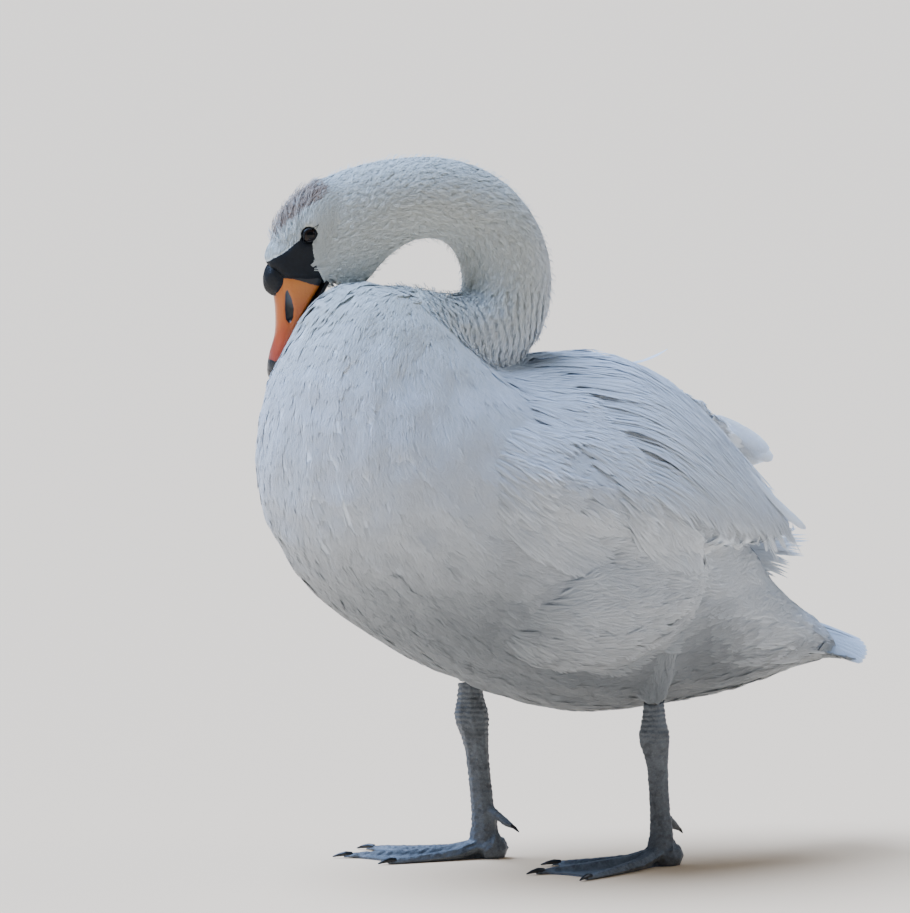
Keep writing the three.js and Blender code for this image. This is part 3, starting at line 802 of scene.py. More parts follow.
# Each half of the bill: how far along it, then its top, its bottom and half its width there.
UPPER_BILL = [
    (43, 15.6, -35, 18), (50.4, 14, -33, 18), (64, 11, -29, 17), (84, 3, -23, 15.8), (108, -3.6, -17.5, 15.8),
    (130, -4.2, -14.2, 15.6), (141, -5.4, -13.7, 12.6), (147, -7.2, -13.4, 9), (150.5, -9, -13.2, 5),
]
LOWER_BILL = [
    (43, -35.2, -42, 14.2), (50.4, -33.2, -40.5, 14.5), (64, -29.6, -37, 14.2), (84, -23.6, -30.5, 13.6),
    (108, -18.2, -24, 13.2), (130, -15, -19.6, 12.2), (143, -14.4, -17.4, 8.5),
]
BILL_RINGS, BILL_SIDES, BILL_END = 110, 80, 1.6
HOLE_DEPTH, FLUTE_DEPTH, LIP_DEPTH = 2.6, 0.7, 0.5


def bill_rings(table, count, sides, power, belt):
    """Rings of a bill's half. power: how square they are. belt: the share up them where they are widest."""
    angle = np.linspace(0, 2 * math.pi, sides, endpoint=False)
    across = np.sign(np.cos(angle)) * np.abs(np.cos(angle)) ** (2 / power)
    rise = np.sign(np.sin(angle)) * np.abs(np.sin(angle)) ** (2 / power)
    rings = []
    for x, top, bottom, half in curve_rows(table, count):
        level = blend(bottom, top, belt)
        z = np.where(rise > 0, level + rise * (top - level), level + rise * (level - bottom))
        rings.append(np.stack([np.full(sides, x), half * across, z], -1))
    return np.array(rings)


def make_bill_half(name, table, power, belt, nodes):
    rings = bill_rings(table, BILL_RINGS, BILL_SIDES, power, belt)
    x, y, z = rings[..., 0], rings[..., 1], rings[..., 2]
    side = np.abs(y) / np.maximum(table[0][3], 1)
    if table is UPPER_BILL:
        # A shallow flute under the culmen, the open nostril in it, and a rolled edge along the mouth.
        hole = ease(-0.4, 1.8, inside_by(x.ravel(), z.ravel(), NOSTRIL)).reshape(x.shape) * (side > 0.2)
        flute = np.exp(-(((z - blend(7, -6, (x - 55) / 60)) / 5) ** 2)) * ease(52, 62, x) * ease(128, 100, x)
        low = np.interp(x, [row[0] for row in table], [row[2] for row in table])
        lip = np.exp(-(((z - low - 2.4) / 1.3) ** 2)) * ease(50, 60, x)
        sunk = HOLE_DEPTH * hole + FLUTE_DEPTH * flute + LIP_DEPTH * lip
        rings[..., 1] -= np.sign(y) * sunk * ease(0.1, 0.5, side)
    first, last = rings[0].mean(0), rings[-1].mean(0)
    last[0] += BILL_END
    flat = rings.reshape(-1, 3)
    mesh = tube_mesh(name, from_head(rings), from_head(first), from_head(last))
    all_points = np.concatenate([flat, [first, last]])
    x, z = all_points[:, 0], all_points[:, 2]
    put_values(mesh, "along_bill", x)
    rim = inside_by(x, z, ORANGE) if table is UPPER_BILL else np.full(len(x), -9.0)
    put_values(mesh, "orange", rim)
    put_values(mesh, "nostril", inside_by(x, z, NOSTRIL) - 6 * (np.abs(all_points[:, 1]) < 4))
    finish(new_object(name, mesh, bill_keratin), "bill_orange", *nodes)


make_bill_half("bill_upper_sheath", UPPER_BILL, power=2.3, belt=0.18, nodes=["bill_upper"])
make_bill_half("bill_lower_sheath", LOWER_BILL, power=2.4, belt=0.72, nodes=["bill_lower"])


def egg_rings(radii, middle, count=40, sides=48):
    rise = np.linspace(-math.pi / 2, math.pi / 2, count + 2)[1:-1]
    turn = np.linspace(0, 2 * math.pi, sides, endpoint=False)
    rise, turn = np.meshgrid(rise, turn, indexing="ij")
    ball = np.stack([np.sin(rise), np.cos(rise) * np.cos(turn), np.cos(rise) * np.sin(turn)], -1)
    return ball * radii + middle


def make_egg(name, radii, middle, material, slot, nodes, lumps=0.0):
    rings = egg_rings(np.array(radii, float), np.array(middle, float))
    shape = rings.shape
    flat = rings.reshape(-1, 3)
    flat = flat + unit(flat - middle) * (soft_noise(flat, 9, SEED)[:, None] * lumps)
    rings = flat.reshape(shape)
    poles = [np.array(middle) + (hand * radii[0], 0, 0) for hand in (-1, 1)]
    mesh = tube_mesh(name, from_head(rings), from_head(poles[0]), from_head(poles[1]))
    thing = new_object(name, mesh, material)
    finish(thing, slot, *nodes)
    return thing


make_egg("knob_skin", KNOB_RADII, KNOB_AT, black_skin, "black_skin", ["knob"], lumps=0.3)
nail = new_object("nail_horn", fused(["bill_nail"], voxel=0.7, rounds=8, grow=0.2), horn)
finish(nail, "black_horn", "bill_nail")

EYE_SLANT = math.radians(22)  # how far the line through an eye's corners climbs to the bill
LID_HALF_LONG, LID_HALF_HIGH = 6.0, 5.8
# An eye's corners: how sharp each is, and how far it is drawn out.
FRONT_CORNER, REAR_CORNER = (0.34, 2.6), (0.2, 7.0)
LID_STEPS, LID_SIDES = 96, 14
LID_THICK, LID_THINNED = 1.15, 0.55


def make_eye_ball(side, hand):
    middle = np.array([EYE_AT[0], hand * EYE_SPREAD, EYE_AT[1]])
    thing = make_egg("eyeball_" + side, (EYE_RADIUS,) * 3, middle, eye_glass, "eye", ["eye_" + side])
    head = in_head(points_of(thing.data))
    away = np.hypot(head[:, 0] - EYE_AT[0], head[:, 2] - EYE_AT[1])
    put_values(thing.data, "from_pupil", away + 20 * (head[:, 1] * hand < EYE_SPREAD))


def make_lid(side, hand):
    """A black rim round the eye, drawn out to a corner in front and behind."""
    rings = []
    count, sides = LID_STEPS, LID_SIDES
    start = from_head((0, hand * 60, 0))
    toward = -LEFT_WAY * hand
    for turn in np.linspace(0, 2 * math.pi, count, endpoint=False):
        sharp, drawn = FRONT_CORNER if math.cos(turn) > 0 else REAR_CORNER
        corner = drawn * np.exp(-((math.sin(turn) / sharp) ** 2))
        a = (LID_HALF_LONG + corner) * math.cos(turn)
        b = LID_HALF_HIGH * math.sin(turn)
        x = a * math.cos(EYE_SLANT) - b * math.sin(EYE_SLANT)
        z = a * math.sin(EYE_SLANT) + b * math.cos(EYE_SLANT)
        away = math.hypot(x, z)
        ball = EYE_SPREAD + math.sqrt(max((EYE_RADIUS + 0.1) ** 2 - away**2, 0)) if away < EYE_RADIUS else 0
        from_side = start + BILL_WAY * (x + EYE_AT[0]) + CROWN_WAY * (z + EYE_AT[1])
        hit = skin_tree.ray_cast(Vector(from_side), Vector(toward))[0]
        wall = in_head(np.array(hit))[1] * hand if hit is not None else 0
        if away < EYE_RADIUS - 0.6:
            wall = min(wall, ball)
        out = max(ball, wall) + 0.2 * corner
        thick = LID_THICK - LID_THINNED * abs(math.cos(turn)) ** 6
        flow = unit(np.array([x, 0, z])) * thick
        for spin in np.linspace(0, 2 * math.pi, sides, endpoint=False):
            beside, over = math.cos(spin), 0.9 * thick * math.sin(spin)
            ahead, above = x + flow[0] * beside, z + flow[2] * beside
            rings.append((EYE_AT[0] + ahead, hand * (out + over), EYE_AT[1] + above))
    faces = grid_faces(count + 1, sides) % (count * sides)
    mesh = turned_out("lid_" + side, from_head(np.array(rings)), faces)
    finish(new_object("lid_" + side, mesh, black_skin), "black_skin")


for side, hand in SIDES:
    make_eye_ball(side, hand)
    make_lid(side, hand)

# ---------------------------------------------------------------- legs

FOLD_GAP = 5.2  # millimetres between the rings of loose skin on a shank
TOE_FOLDS, SHANK_FOLDS = 0.14, 0.34  # how high those rings stand under the heel, and over it
LEG_GROWN, LEG_DRAWN_IN = 2.1, 1.8


def stand_on_floor(mesh, points):
    points[:, 2] = np.maximum(points[:, 2], 0)
    put_points(mesh, points)


def make_leg(side):
    nodes = [part + side for part in ("shank_", "foot_", "hind_toe_")]
    # Grown and drawn in again, so that the small gaps between web, toes and heel close.
    mesh = fused(nodes, voxel=1.15, rounds=9, grow=LEG_GROWN)
    points, normals = points_of(mesh), normals_of(mesh)
    points -= normals * LEG_DRAWN_IN
    # Rings of loose skin over the ankle and the heel, and knuckles along the toes.
    z = points[:, 2]
    folds = np.sin(z * 2 * math.pi / FOLD_GAP + 2 * soft_noise(points, 30, SEED))
    folds *= blend(TOE_FOLDS, SHANK_FOLDS, ease(118, 136, z)) * ease(24, 34, z)
    relief = (folds + 0.3 * soft_noise(points, 6, SEED + 1)) * ease(1.5, 5, z)
    stand_on_floor(mesh, points + normals * relief[:, None])
    finish(new_object("leg_" + side, mesh, leg_skin), "leg_skin", *nodes)


def make_claws(side):
    for part in ("claw_inner_", "claw_middle_", "claw_outer_", "claw_hind_"):
        node = part + side
        mesh = fused([node], voxel=0.6, rounds=5, grow=0.15)
        stand_on_floor(mesh, points_of(mesh))
        finish(new_object(node + "_horn", mesh, horn), "black_horn", node)


for side, _ in SIDES:
    make_leg(side)
    make_claws(side)

# ---------------------------------------------------------------- the coat's lie

# The neck's middle line from the breast to the head, in the bird's own millimetres.
NECK_LINE = np.array([
    (150, 0, 545), (112, 0, 546), (72, 0, 538), (34, -1, 540), (6, -2, 556), (-6, -4, 588), (-2, -6, 622),
    (18, -11, 652), (50, -20, 669), (86, -32, 672), (120, -43, 663), (150, -53, 647), (172, -61, 628),
])
BREAST_MIDDLE = 495  # the height, in millimetres, about which the breast's feathers lie in rounds

skin_home = forms.nearest(skin_points)
skin_kind = np.array([kind_of(name) for name in skin_home])
face_corners = skin_points[skin_faces]
first_corner, next_corner, last_corner = face_corners.transpose(1, 0, 2)
face_cross = np.cross(next_corner - first_corner, last_corner - first_corner)
face_area = np.linalg.norm(face_cross, axis=1) / 2
face_middle = face_corners.mean(1)
face_kind = skin_kind[skin_faces[:, 0]]
face_home = skin_home[skin_faces[:, 0]]


def neck_flow(bird):
    """Which way the neck's feathers lie: along its middle line, down to the breast."""
    best = np.full(len(bird), 1e9)
    flow = np.zeros_like(bird)
    for a, b in zip(NECK_LINE[:-1], NECK_LINE[1:]):
        way = b - a
        along = np.clip(((bird - a) @ way) / (way @ way), 0, 1)
        away = np.linalg.norm(bird - a - along[:, None] * way, axis=1)
        near = away < best
        best[near] = away[near]
        flow[near] = -way / np.linalg.norm(way)
    return flow


def lie_of(points, normals, kinds, rng, stray=7.0):
    """Unit ways along the skin in which feathers lie, each turned a few degrees at random."""
    bird = points - BIRD
    x, y, z = bird.T
    round_breast = unit(np.stack([z - BREAST_MIDDLE, 0 * x, -x], -1))
    ones = np.ones_like(x)
    rear = unit(np.stack([-ones, 0 * x, 0.06 * ones], -1))
    body = unit(blend(round_breast, rear, ease(-20, -140, x)[:, None]))
    flow = body.copy()
    neck = np.char.startswith(kinds, "neck")
    low_neck, head, wing = (kinds == kind for kind in ("neck_lower", "head", "wing"))
    flow[neck] = neck_flow(bird[neck])
    flow[low_neck] = unit(blend(flow[low_neck], body[low_neck], ease(70, 150, x[low_neck])[:, None]))
    back = np.tile(-BILL_WAY + 0.15 * CROWN_WAY, (head.sum(), 1))
    over = ease(-8, -42, in_head(points)[:, 0])
    flow[head] = unit(blend(back, neck_flow(bird[head]), over[head][:, None]))
    droop = 0.1 + 0.75 * ease(-60, -300, x)
    flow[wing] = unit(np.stack([-ones, -0.12 * np.sign(y), -droop], -1))[wing]
    for kind, way in (("flank", (-1.0, 0.0, -0.1)), ("shin", (-0.15, 0.0, -1.0)), ("tail", (-1.0, 0.0, -0.18))):
        flow[kinds == kind] = unit(np.array(way))
    turn = np.radians(stray) * rng.normal(size=len(points)) + 0.12 * soft_noise(points, 60, SEED + 5)
    flow = unit(flow - normals * (flow * normals).sum(1)[:, None])
    side = np.cross(normals, flow)
    return unit(flow * np.cos(turn)[:, None] + side * np.sin(turn)[:, None])


def tree_of(places):
    tree = KDTree(len(places))
    for at, place in enumerate(places):
        tree.insert(place, at)
    tree.balance()
    return tree


class Roots:
    """Where feathers grow: places, outward ways, lie, node kind, and place on the skin's unwrap."""

    def __init__(self, chosen, share, rng, stray=7.0):
        weigh = lambda values: (values[chosen] * share[:, :, None]).sum(1)
        self.place = weigh(face_corners)
        self.normal = unit(weigh(skin_normals[skin_faces]))
        self.uv = weigh(skin_uv)
        self.kind = face_kind[chosen]
        self.home = face_home[chosen]
        self.way = lie_of(self.place, self.normal, self.kind, rng, stray)

    def only(self, keep):
        part = Roots.__new__(Roots)
        for name, values in self.__dict__.items():
            setattr(part, name, values[keep])
        return part

    def turn(self, way, share):
        """Turns the feathers towards one way along the skin, by a share."""
        way = np.array(way, float)
        flat = unit(way - self.normal * (self.normal @ way)[:, None])
        self.way = unit(blend(self.way, flat, np.reshape(share, (-1, 1))))

    def __len__(self):
        return len(self.place)


TRIES = 3.2  # places tried for each square of the spacing


def scatter(where, spacing, seed, stray=7.0):
    """Roots on the faces in where, none nearer to another than the spacing at its face, in millimetres."""
    rng = np.random.default_rng(seed)
    faces = np.nonzero(where)[0]
    gap = np.broadcast_to(spacing, where.shape)[faces]
    rate = np.cumsum(face_area[faces] / gap**2)
    count = int(rate[-1] * TRIES)
    picked = faces[np.searchsorted(rate, rng.uniform(0, rate[-1], count))]
    share = rng.dirichlet((1, 1, 1), count)
    places = (face_corners[picked] * share[:, :, None]).sum(1)
    gaps = np.broadcast_to(spacing, where.shape)[picked]
    tree = tree_of(places)
    free = np.ones(count, bool)
    chosen = []
    for at in range(count):
        if free[at]:
            chosen.append(at)
            for _, other, _ in tree.find_range(places[at], gaps[at]):
                free[other] = False
    return Roots(picked[chosen], share[chosen], rng, stray)


# ---------------------------------------------------------------- tufts and vanes

COAT_SOFTNESS = 0.84  # how near the coat's shading keeps to one soft surface
PIECE_LIMIT = 190000  # triangles
PATCH_REACH = 0.0015  # half the width of a feather's patch on the unwrap


def shaded_ways(points, leans, corners):
    """The way each face corner is shaded: near its lean where the face looks outwards, else the face's own."""
    trio = points[corners].reshape(-1, 3, 3)
    flat = unit(np.cross(trio[:, 1] - trio[:, 0], trio[:, 2] - trio[:, 0]))[:, None]
    lean = leans[corners].reshape(-1, 3, 3)
    share = COAT_SOFTNESS * ease(0.0, 0.5, (flat * lean).sum(-1, keepdims=True))
    return unit(blend(flat, lean, share)).reshape(-1, 3)


class Coat:
    """Collects feathers that share one mesh, and makes objects of at most PIECE_LIMIT triangles from them."""

    def __init__(self, name, slot="white_plumage"):
        self.name, self.slot = name, slot
        self.sets = []

    def add(self, points, leans, faces, uv, vane, along, tone, own):
        """points: feathers x corners x 3. leans: the way each corner is shaded, near the skin's own, so that
        the coat reads as one soft surface. faces: rows of three corner numbers, the same for each feather."""
        each = lambda values: np.repeat(values.reshape(len(points), 1, -1), points.shape[1], 1)
        along = np.clip(along, 0, 1)[..., None]
        self.sets.append((points, leans, uv, vane, along, each(tone), each(own), faces))

    def finish(self):
        batch, count, number = [], 0, 1
        for *parts, faces in self.sets:
            start, many = 0, len(parts[0])
            while start < many:
                room = max((PIECE_LIMIT - count) // len(faces), 0)
                end = min(many, start + room)
                if end > start:
                    batch.append([part[start:end] for part in parts] + [faces])
                    count += (end - start) * len(faces)
                start = end
                if start < many:
                    self.make(batch, number)
                    batch, count, number = [], 0, number + 1
        if batch:
            self.make(batch, number)

    def make(self, batch, number):
        corners, rows, start = [], [], 0
        for *parts, faces in batch:
            many, size = parts[0].shape[:2]
            shift = start + np.arange(many) * size
            corners.append((faces.ravel()[None] + shift[:, None]).ravel())
            rows.append([part.reshape(-1, part.shape[-1]) for part in parts])
            start += many * size
        corners = np.concatenate(corners)
        points, leans, uv, vane, along, tone, own = (np.concatenate(column) for column in zip(*rows))
        mesh = mesh_from(self.name, points, corners)
        mesh.normals_split_custom_set(shaded_ways(points, leans, corners))
        for map_name, values in (("OFBake", uv), ("Vane", vane)):
            layer = mesh.uv_layers.new(name=map_name, do_init=False)
            layer.data.foreach_set("uv", values[corners].astype(np.float32).ravel())
        put_values(mesh, "tone", tone, "FLOAT_COLOR")
        put_values(mesh, "own", own)
        put_values(mesh, "along", along)
        thing = new_object(f"{self.name}_{number}", mesh, plumage)
        finish(thing, self.slot)


def spines(roots, length):
    """Three places along the skin under each feather, and the skin's outward ways there."""
    step_on = roots.way * (length * 0.5)[:, None]
    middle, middle_way = on_skin(roots.place + step_on)
    heading = unit(middle - roots.place)
    end, end_way = on_skin(middle + heading * (length * 0.5)[:, None])
    return np.stack([roots.place, middle, end], 1), np.stack([roots.normal, middle_way, end_way], 1)


def along_spine(triple, s):
    """A quadratic through three values at 0, 0.5 and 1, read at s (feathers x corners)."""
    a, b, c = triple[:, None, 0], triple[:, None, 1], triple[:, None, 2]
    s = s[..., None]
    return a * (2 * s - 1) * (s - 1) + b * 4 * s * (1 - s) + c * s * (2 * s - 1)


def set_down(roots, length, s, u, h):
    """Feather coordinates (share of length, sideways mm, height mm) to places over the skin."""
    places, ways = spines(roots, length)
    over = np.maximum(s, 0)
    ground = along_spine(places, np.clip(s, 0, 1))
    up = unit(along_spine(ways, np.clip(s, 0, 1)))
    head_on = unit(places[:, 2] - places[:, 1])[:, None]
    ground = ground + head_on * ((over - 1).clip(0) * length[:, None])[..., None]
    start = unit(places[:, 1] - places[:, 0])[:, None]
    forward = unit(blend(start, head_on, np.clip(s, 0, 1)[..., None]))
    side = unit(np.cross(up, forward))
    return ground + side * u[..., None] + up * h[..., None], up, side


def patch_uv(roots, s, u, width):
    """Each feather's patch, about 0.003 across, at its root's place on the skin's unwrap."""
    local = np.stack([u / np.maximum(width, 1)[:, None], np.clip(s, 0, 1.1) * 2 - 1], -1)
    return roots.uv[:, None] + local * PATCH_REACH


def tone_of(roots, rng):
    return np.concatenate([stains(roots.place), rng.uniform(0, 1, (len(roots), 1))], 1)


def blade_faces(sections, blades):
    """Faces of three-sided blades that taper to a point."""
    rows = []
    for near in range(0, 3 * (sections - 1), 3):
        far = near + 3
        for i, j in ((0, 1), (1, 2), (2, 0)):
            rows += [(near + i, near + j, far + j), (near + i, far + j, far + i)]
    last, tip = 3 * (sections - 1), 3 * sections
    rows += [(last, last + 1, tip), (last + 1, last + 2, tip), (last + 2, last, tip), (0, 2, 1)]
    faces = np.array(rows)[None] + (tip + 1) * np.arange(blades)[:, None, None]
    return faces.reshape(-1, 3)


def blade_leans(sections, blades):
    """How far each corner of a blade is shaded to its side."""
    one = np.array([-BLADE_LEAN, BLADE_LEAN, 0.0] * sections + [0.0])
    return np.tile(one, blades)


BLADE_LEAN, VANE_LEAN = 0.3, 0.3
SHORT_BLADE = ((0.0, 0.7), (0.6, 1.0))
LONG_BLADE = ((0.0, 0.6), (0.32, 0.95), (0.6, 1.0), (0.82, 0.75))


def fan_shape(many, length, width, blades, rise, rng, form=SHORT_BLADE, spread=0.5, thick=0.16, ragged=0.16,
              lift=0.12, overlap=2.0, curl=0.03):
    """Feather coordinates of fans of blades. form: share of each section along a blade, and its width there."""
    turn = np.linspace(-1, 1, blades) if blades > 1 else np.zeros(1)
    turn = turn[None] + rng.normal(0, 0.45 / blades, (many, blades))
    reach = (1 - 0.2 * turn**2) * rng.uniform(1 - ragged, 1 + ragged * 0.5, (many, blades))
    start = rng.uniform(0.0, 0.08, (many, blades))
    blade_width = (width[:, None] * overlap / blades) * rng.uniform(0.8, 1.25, (many, blades))
    tip_u = turn * width[:, None] / 2 * rng.uniform(0.92, 1.08, (many, blades))
    drift = rng.normal(0, curl, (many, 1)) * length[:, None]
    low, high = rise
    top = np.broadcast_to(high, many)[:, None] + rng.normal(0, lift, (many, 1))
    top = top + rng.normal(0, 0.5 * lift, (many, blades)) - 0.3 * turn**2
    size = 3 * len(form) + 1
    s = np.empty((many, blades, size))
    u, h = np.empty_like(s), np.empty_like(s)
    for k, (share, wide) in enumerate(form):
        at = start + (reach - start) * share
        middle = tip_u * (1 - spread + spread * share) + drift * share**2
        level = low + (top - low) * share**0.3
        for j, (offset, up) in enumerate(((-0.5, 0.0), (0.5, 0.0), (0.0, 1.0))):
            s[:, :, 3 * k + j] = at
            u[:, :, 3 * k + j] = middle + offset * blade_width * wide
            h[:, :, 3 * k + j] = level + up * thick
    s[:, :, -1], u[:, :, -1], h[:, :, -1] = reach, tip_u + drift, top
    return s.reshape(many, -1), u.reshape(many, -1), h.reshape(many, -1)


def add_fans(coat, roots, length, width, blades, rise, seed, form=SHORT_BLADE, covered_shade=1.0, **looks):
    """Tufts of tapered blades that fan out from a root, as loose barbs do. rise: height at root and at tip.
    covered_shade: how much greyer the covered part is than the tip, as painted shade from the feathers over it."""
    rng = np.random.default_rng(seed)
    many = len(roots)
    length = np.broadcast_to(length, many) * rng.uniform(0.86, 1.14, many)
    width = np.broadcast_to(width, many) * rng.uniform(0.9, 1.1, many)
    s, u, h = fan_shape(many, length, width, blades, rise, rng, form, **looks)
    points, up, side = set_down(roots, length, s, u, h)
    leans = unit(up + side * blade_leans(len(form), blades)[None, :, None])
    vane = np.stack([u, s * length[:, None]], -1)
    uv = patch_uv(roots, s, u, width)
    faces = blade_faces(len(form), blades)
    coat.add(points, leans, faces, uv, vane, 1 - covered_shade * (1 - s), tone_of(roots, rng), rng.uniform(0, 40, many))


def vane_grid(rows, columns):
    """Faces of a closed vane: an upper and an under sheet that meet along the edge."""
    upper = np.arange(rows * columns).reshape(rows, columns)
    under = upper.copy()
    inner = upper[1:-1, 1:-1]
    under[1:-1, 1:-1] = rows * columns + np.arange(inner.size).reshape(inner.shape)
    faces = []
    for sheet, flip in ((upper, True), (under, False)):
        a, b, c, d = sheet[:-1, :-1], sheet[:-1, 1:], sheet[1:, 1:], sheet[1:, :-1]
        for trio in ((a, b, c), (a, c, d)):
            faces.append(np.stack(trio[::-1] if flip else trio, -1).reshape(-1, 3))
    faces = np.concatenate(faces)
    # At two corners the sheets would share a face: neither keeps it.
    _, which, count = np.unique(np.sort(faces, 1), axis=0, return_inverse=True, return_counts=True)
    return faces[count[which.ravel()] == 1]


def vane_shape(many, rows, columns, width, rise, rng, ragged, point, camber, thick):
    """Feather coordinates of vanes: share of length, sideways and height, upper sheet then under."""
    row = np.linspace(0, 1, rows)
    column = np.linspace(-1, 1, columns)
    taper = np.clip((row - point) / (1.02 - point), 0, 1) ** 2.2
    half = np.maximum(np.clip(row / 0.28, 0, 1) ** 0.6 * np.sqrt(np.clip(1 - taper, 0, 1)), 0.06)
    row, half = row[None, :, None], half[None, :, None]
    width = width[:, None, None]
    across = np.broadcast_to(column[None, None], (many, rows, columns))
    from_edge = 1 - np.abs(across)
    # The edge is torn here and there.
    tear = rng.normal(0, 1, across.shape) * ragged
    edge = np.abs(across) ** 3
    u = across * half * width / 2 * (1 + tear * edge)
    fray = rng.normal(0, 1, across.shape) * ragged * 1.4 / rows
    s = row + fray * (row > 0.8) * (0.2 + from_edge)
    low, high = (value[:, None, None] for value in rise)
    h = low + (high - low) * row**0.7 - camber * across**2 * half * width / 10 + thick * 1.1 * from_edge**3
    h += rng.normal(0, 0.12, across.shape) * edge
    under = (slice(None), slice(1, -1), slice(1, -1))
    both = lambda upper, lower: np.concatenate([upper.reshape(many, -1), lower[under].reshape(many, -1)], 1)
    return both(s, s), both(u, u), both(h, h - thick)


# ---------------------------------------------------------------- body, neck, head and legs

x_face = (face_middle - BIRD)[:, 0]
BODY_GAP, REAR_GAP = 8.2, 9.5  # millimetres between roots
RIDGE_GAP = 8.6  # millimetres between the ridges of the neck's folded base


def dress_body():
    coat = Coat("body_feathers")
    gap = blend(np.full(len(x_face), BODY_GAP), REAR_GAP, ease(-200, -330, x_face))
    roots = scatter(np.isin(face_kind, ["breast", "trunk"]), spacing=gap, seed=SEED + 10)
    x = (roots.place - BIRD)[:, 0]
    length = (30 + 14 * ease(-150, -240, x) * ease(-330, -270, x)) * blend(1.0, 0.8, ease(150, 230, x))
    rise = (0.2, 1.4 + 2.8 * crest_share(roots.place))
    add_fans(
        coat, roots, length=length, width=length * 0.56, blades=14, rise=rise, seed=SEED + 11, ragged=0.22,
        overlap=2.6, covered_shade=0.4,
    )
    # Longer feathers of the breast lie over the front edge of each folded wing.
    wing_tree = tree_of(skin_points[skin_kind == "wing"])
    near_wing = np.array([wing_tree.find(Vector(place))[2] < 30 for place in roots.place])
    edge = roots.only((x > 10) & near_wing)
    edge.turn((-0.8, 0.0, -0.6), 0.8)
    looks = dict(ragged=0.3, lift=0.4, covered_shade=0.6)
    add_fans(
        coat, edge, length=50.0, width=24.0, blades=13, rise=(0.2, 4.2), seed=SEED + 12, form=LONG_BLADE,
        **looks,
    )
    coat.finish()


def dress_flanks():
    coat = Coat("flank_feathers")
    roots = scatter(face_kind == "flank", spacing=8.5, seed=SEED + 20, stray=9.0)
    add_fans(
        coat, roots, length=38.0, width=20.0, blades=14, rise=(0.5, 4.0), seed=SEED + 21, form=LONG_BLADE,
        ragged=0.3, lift=0.35,
    )
    coat.finish()


def dress_shins():
    coat = Coat("shin_down")
    roots = scatter(face_kind == "shin", spacing=4.2, seed=SEED + 30)
    add_fans(coat, roots, length=15.0, width=5.0, blades=3, rise=(0.3, 2.2), seed=SEED + 31)
    coat.finish()


def dress_neck():
    coat = Coat("neck_down", "cream_plumage")
    faces = np.char.startswith(face_kind, "neck")
    roots = scatter(faces, spacing=3.1, seed=SEED + 40, stray=9.0)
    x, _, z = (roots.place - BIRD).T
    length = np.where(roots.kind == "neck_lower", 16.0, 12.5)
    length = length * blend(1.0, 0.8, ease(60, 150, x) * ease(600, 640, z))
    top = np.where(roots.kind == "neck_upper", 1.6, 2.2)
    smooth = ease(-46, -20, x) * ease(126, 96, x) * ease(596, 566, z) < 0.3
    looks = dict(ragged=0.3, lift=0.1, overlap=2.1, covered_shade=0.5)
    add_fans(
        coat, roots.only(smooth), length=length[smooth], width=4.2, blades=4, rise=(0.2, top[smooth]),
        seed=SEED + 41, **looks,
    )
    # Round the neck's folded base the down hangs in ridges.
    ridged = roots.only(~smooth)
    x, _, z = (ridged.place - BIRD).T
    fold = 2 * math.pi * (x + 5 * np.sin(z / 19) + 2 * np.sin(x / 13)) / RIDGE_GAP
    ridged.turn((0.0, 0.0, -1.0), 0.85)
    ridged.way = unit(ridged.way - np.stack([0.3 * np.sin(fold), 0 * fold, 0 * fold], -1))
    rise = (0.0, 2.2 + 1.6 * np.cos(fold))
    add_fans(
        coat, ridged, length=17.0, width=3.8, blades=4, rise=rise, seed=SEED + 42, ragged=0.3, overlap=2.2,
        covered_shade=0.5,
    )
    # Fine loose barbs stand off the plush, so that its outline is soft.
    fuzz = scatter(faces, spacing=6.0, seed=SEED + 43, stray=16.0)
    looks = dict(thick=0.14, ragged=0.45, lift=1.1, overlap=0.6, covered_shade=0.3)
    add_fans(coat, fuzz, length=10.0, width=3.6, blades=3, rise=(0.4, 5.4), seed=SEED + 44, **looks)
    coat.finish()


def dress_head():
    coat = Coat("head_down", "cream_plumage")
    bare = np.maximum(bare_face(face_middle), 8.8 - eye_distance(face_middle))
    roots = scatter((face_kind == "head") & (bare < -0.6), spacing=1.7, seed=SEED + 50, stray=6.0)
    crown = crown_share(roots.place)
    top = blend(1.2, 3.6, crown) + 4.5 * ease(-28, -42, in_head(roots.place)[:, 2])
    looks = dict(thick=0.12, ragged=0.3, lift=0.06, covered_shade=0.5)
    add_fans(
        coat, roots, length=blend(6.5, 11.0, crown), width=2.2, blades=3, rise=(0.1, top), seed=SEED + 51,
        **looks,
    )
    # Worn rusty strands part from the crown and stand out past its line.
    faces = (face_kind == "head") & (crown_share(face_middle) > 0.35) & (bare < -3)
    loose = scatter(faces, spacing=3.0, seed=SEED + 52, stray=14.0)
    rise = (0.4, blend(1.5, 6.5, crown_share(loose.place)))
    looks = dict(thick=0.2, ragged=0.45, lift=1.2, overlap=0.9)
    add_fans(
        coat, loose, length=13.0, width=2.6, blades=3, rise=rise, seed=SEED + 53, form=LONG_BLADE, **looks
    )
    coat.finish()


dress_body()
dress_flanks()
dress_shins()
dress_neck()
dress_head()

# ---------------------------------------------------------------- wings and tail

# The right wing's tip is raised and reaches further back than the left's, in millimetres.
WING_LIFT = {"left": 0, "right": 50}
WING_LONG = {"left": 0, "right": 26}
TIP_SHIFT = {"left": (0, 0, 0), "right": (-28, 14, 60)}
STATIONS = 11  # places along the path of a long feather


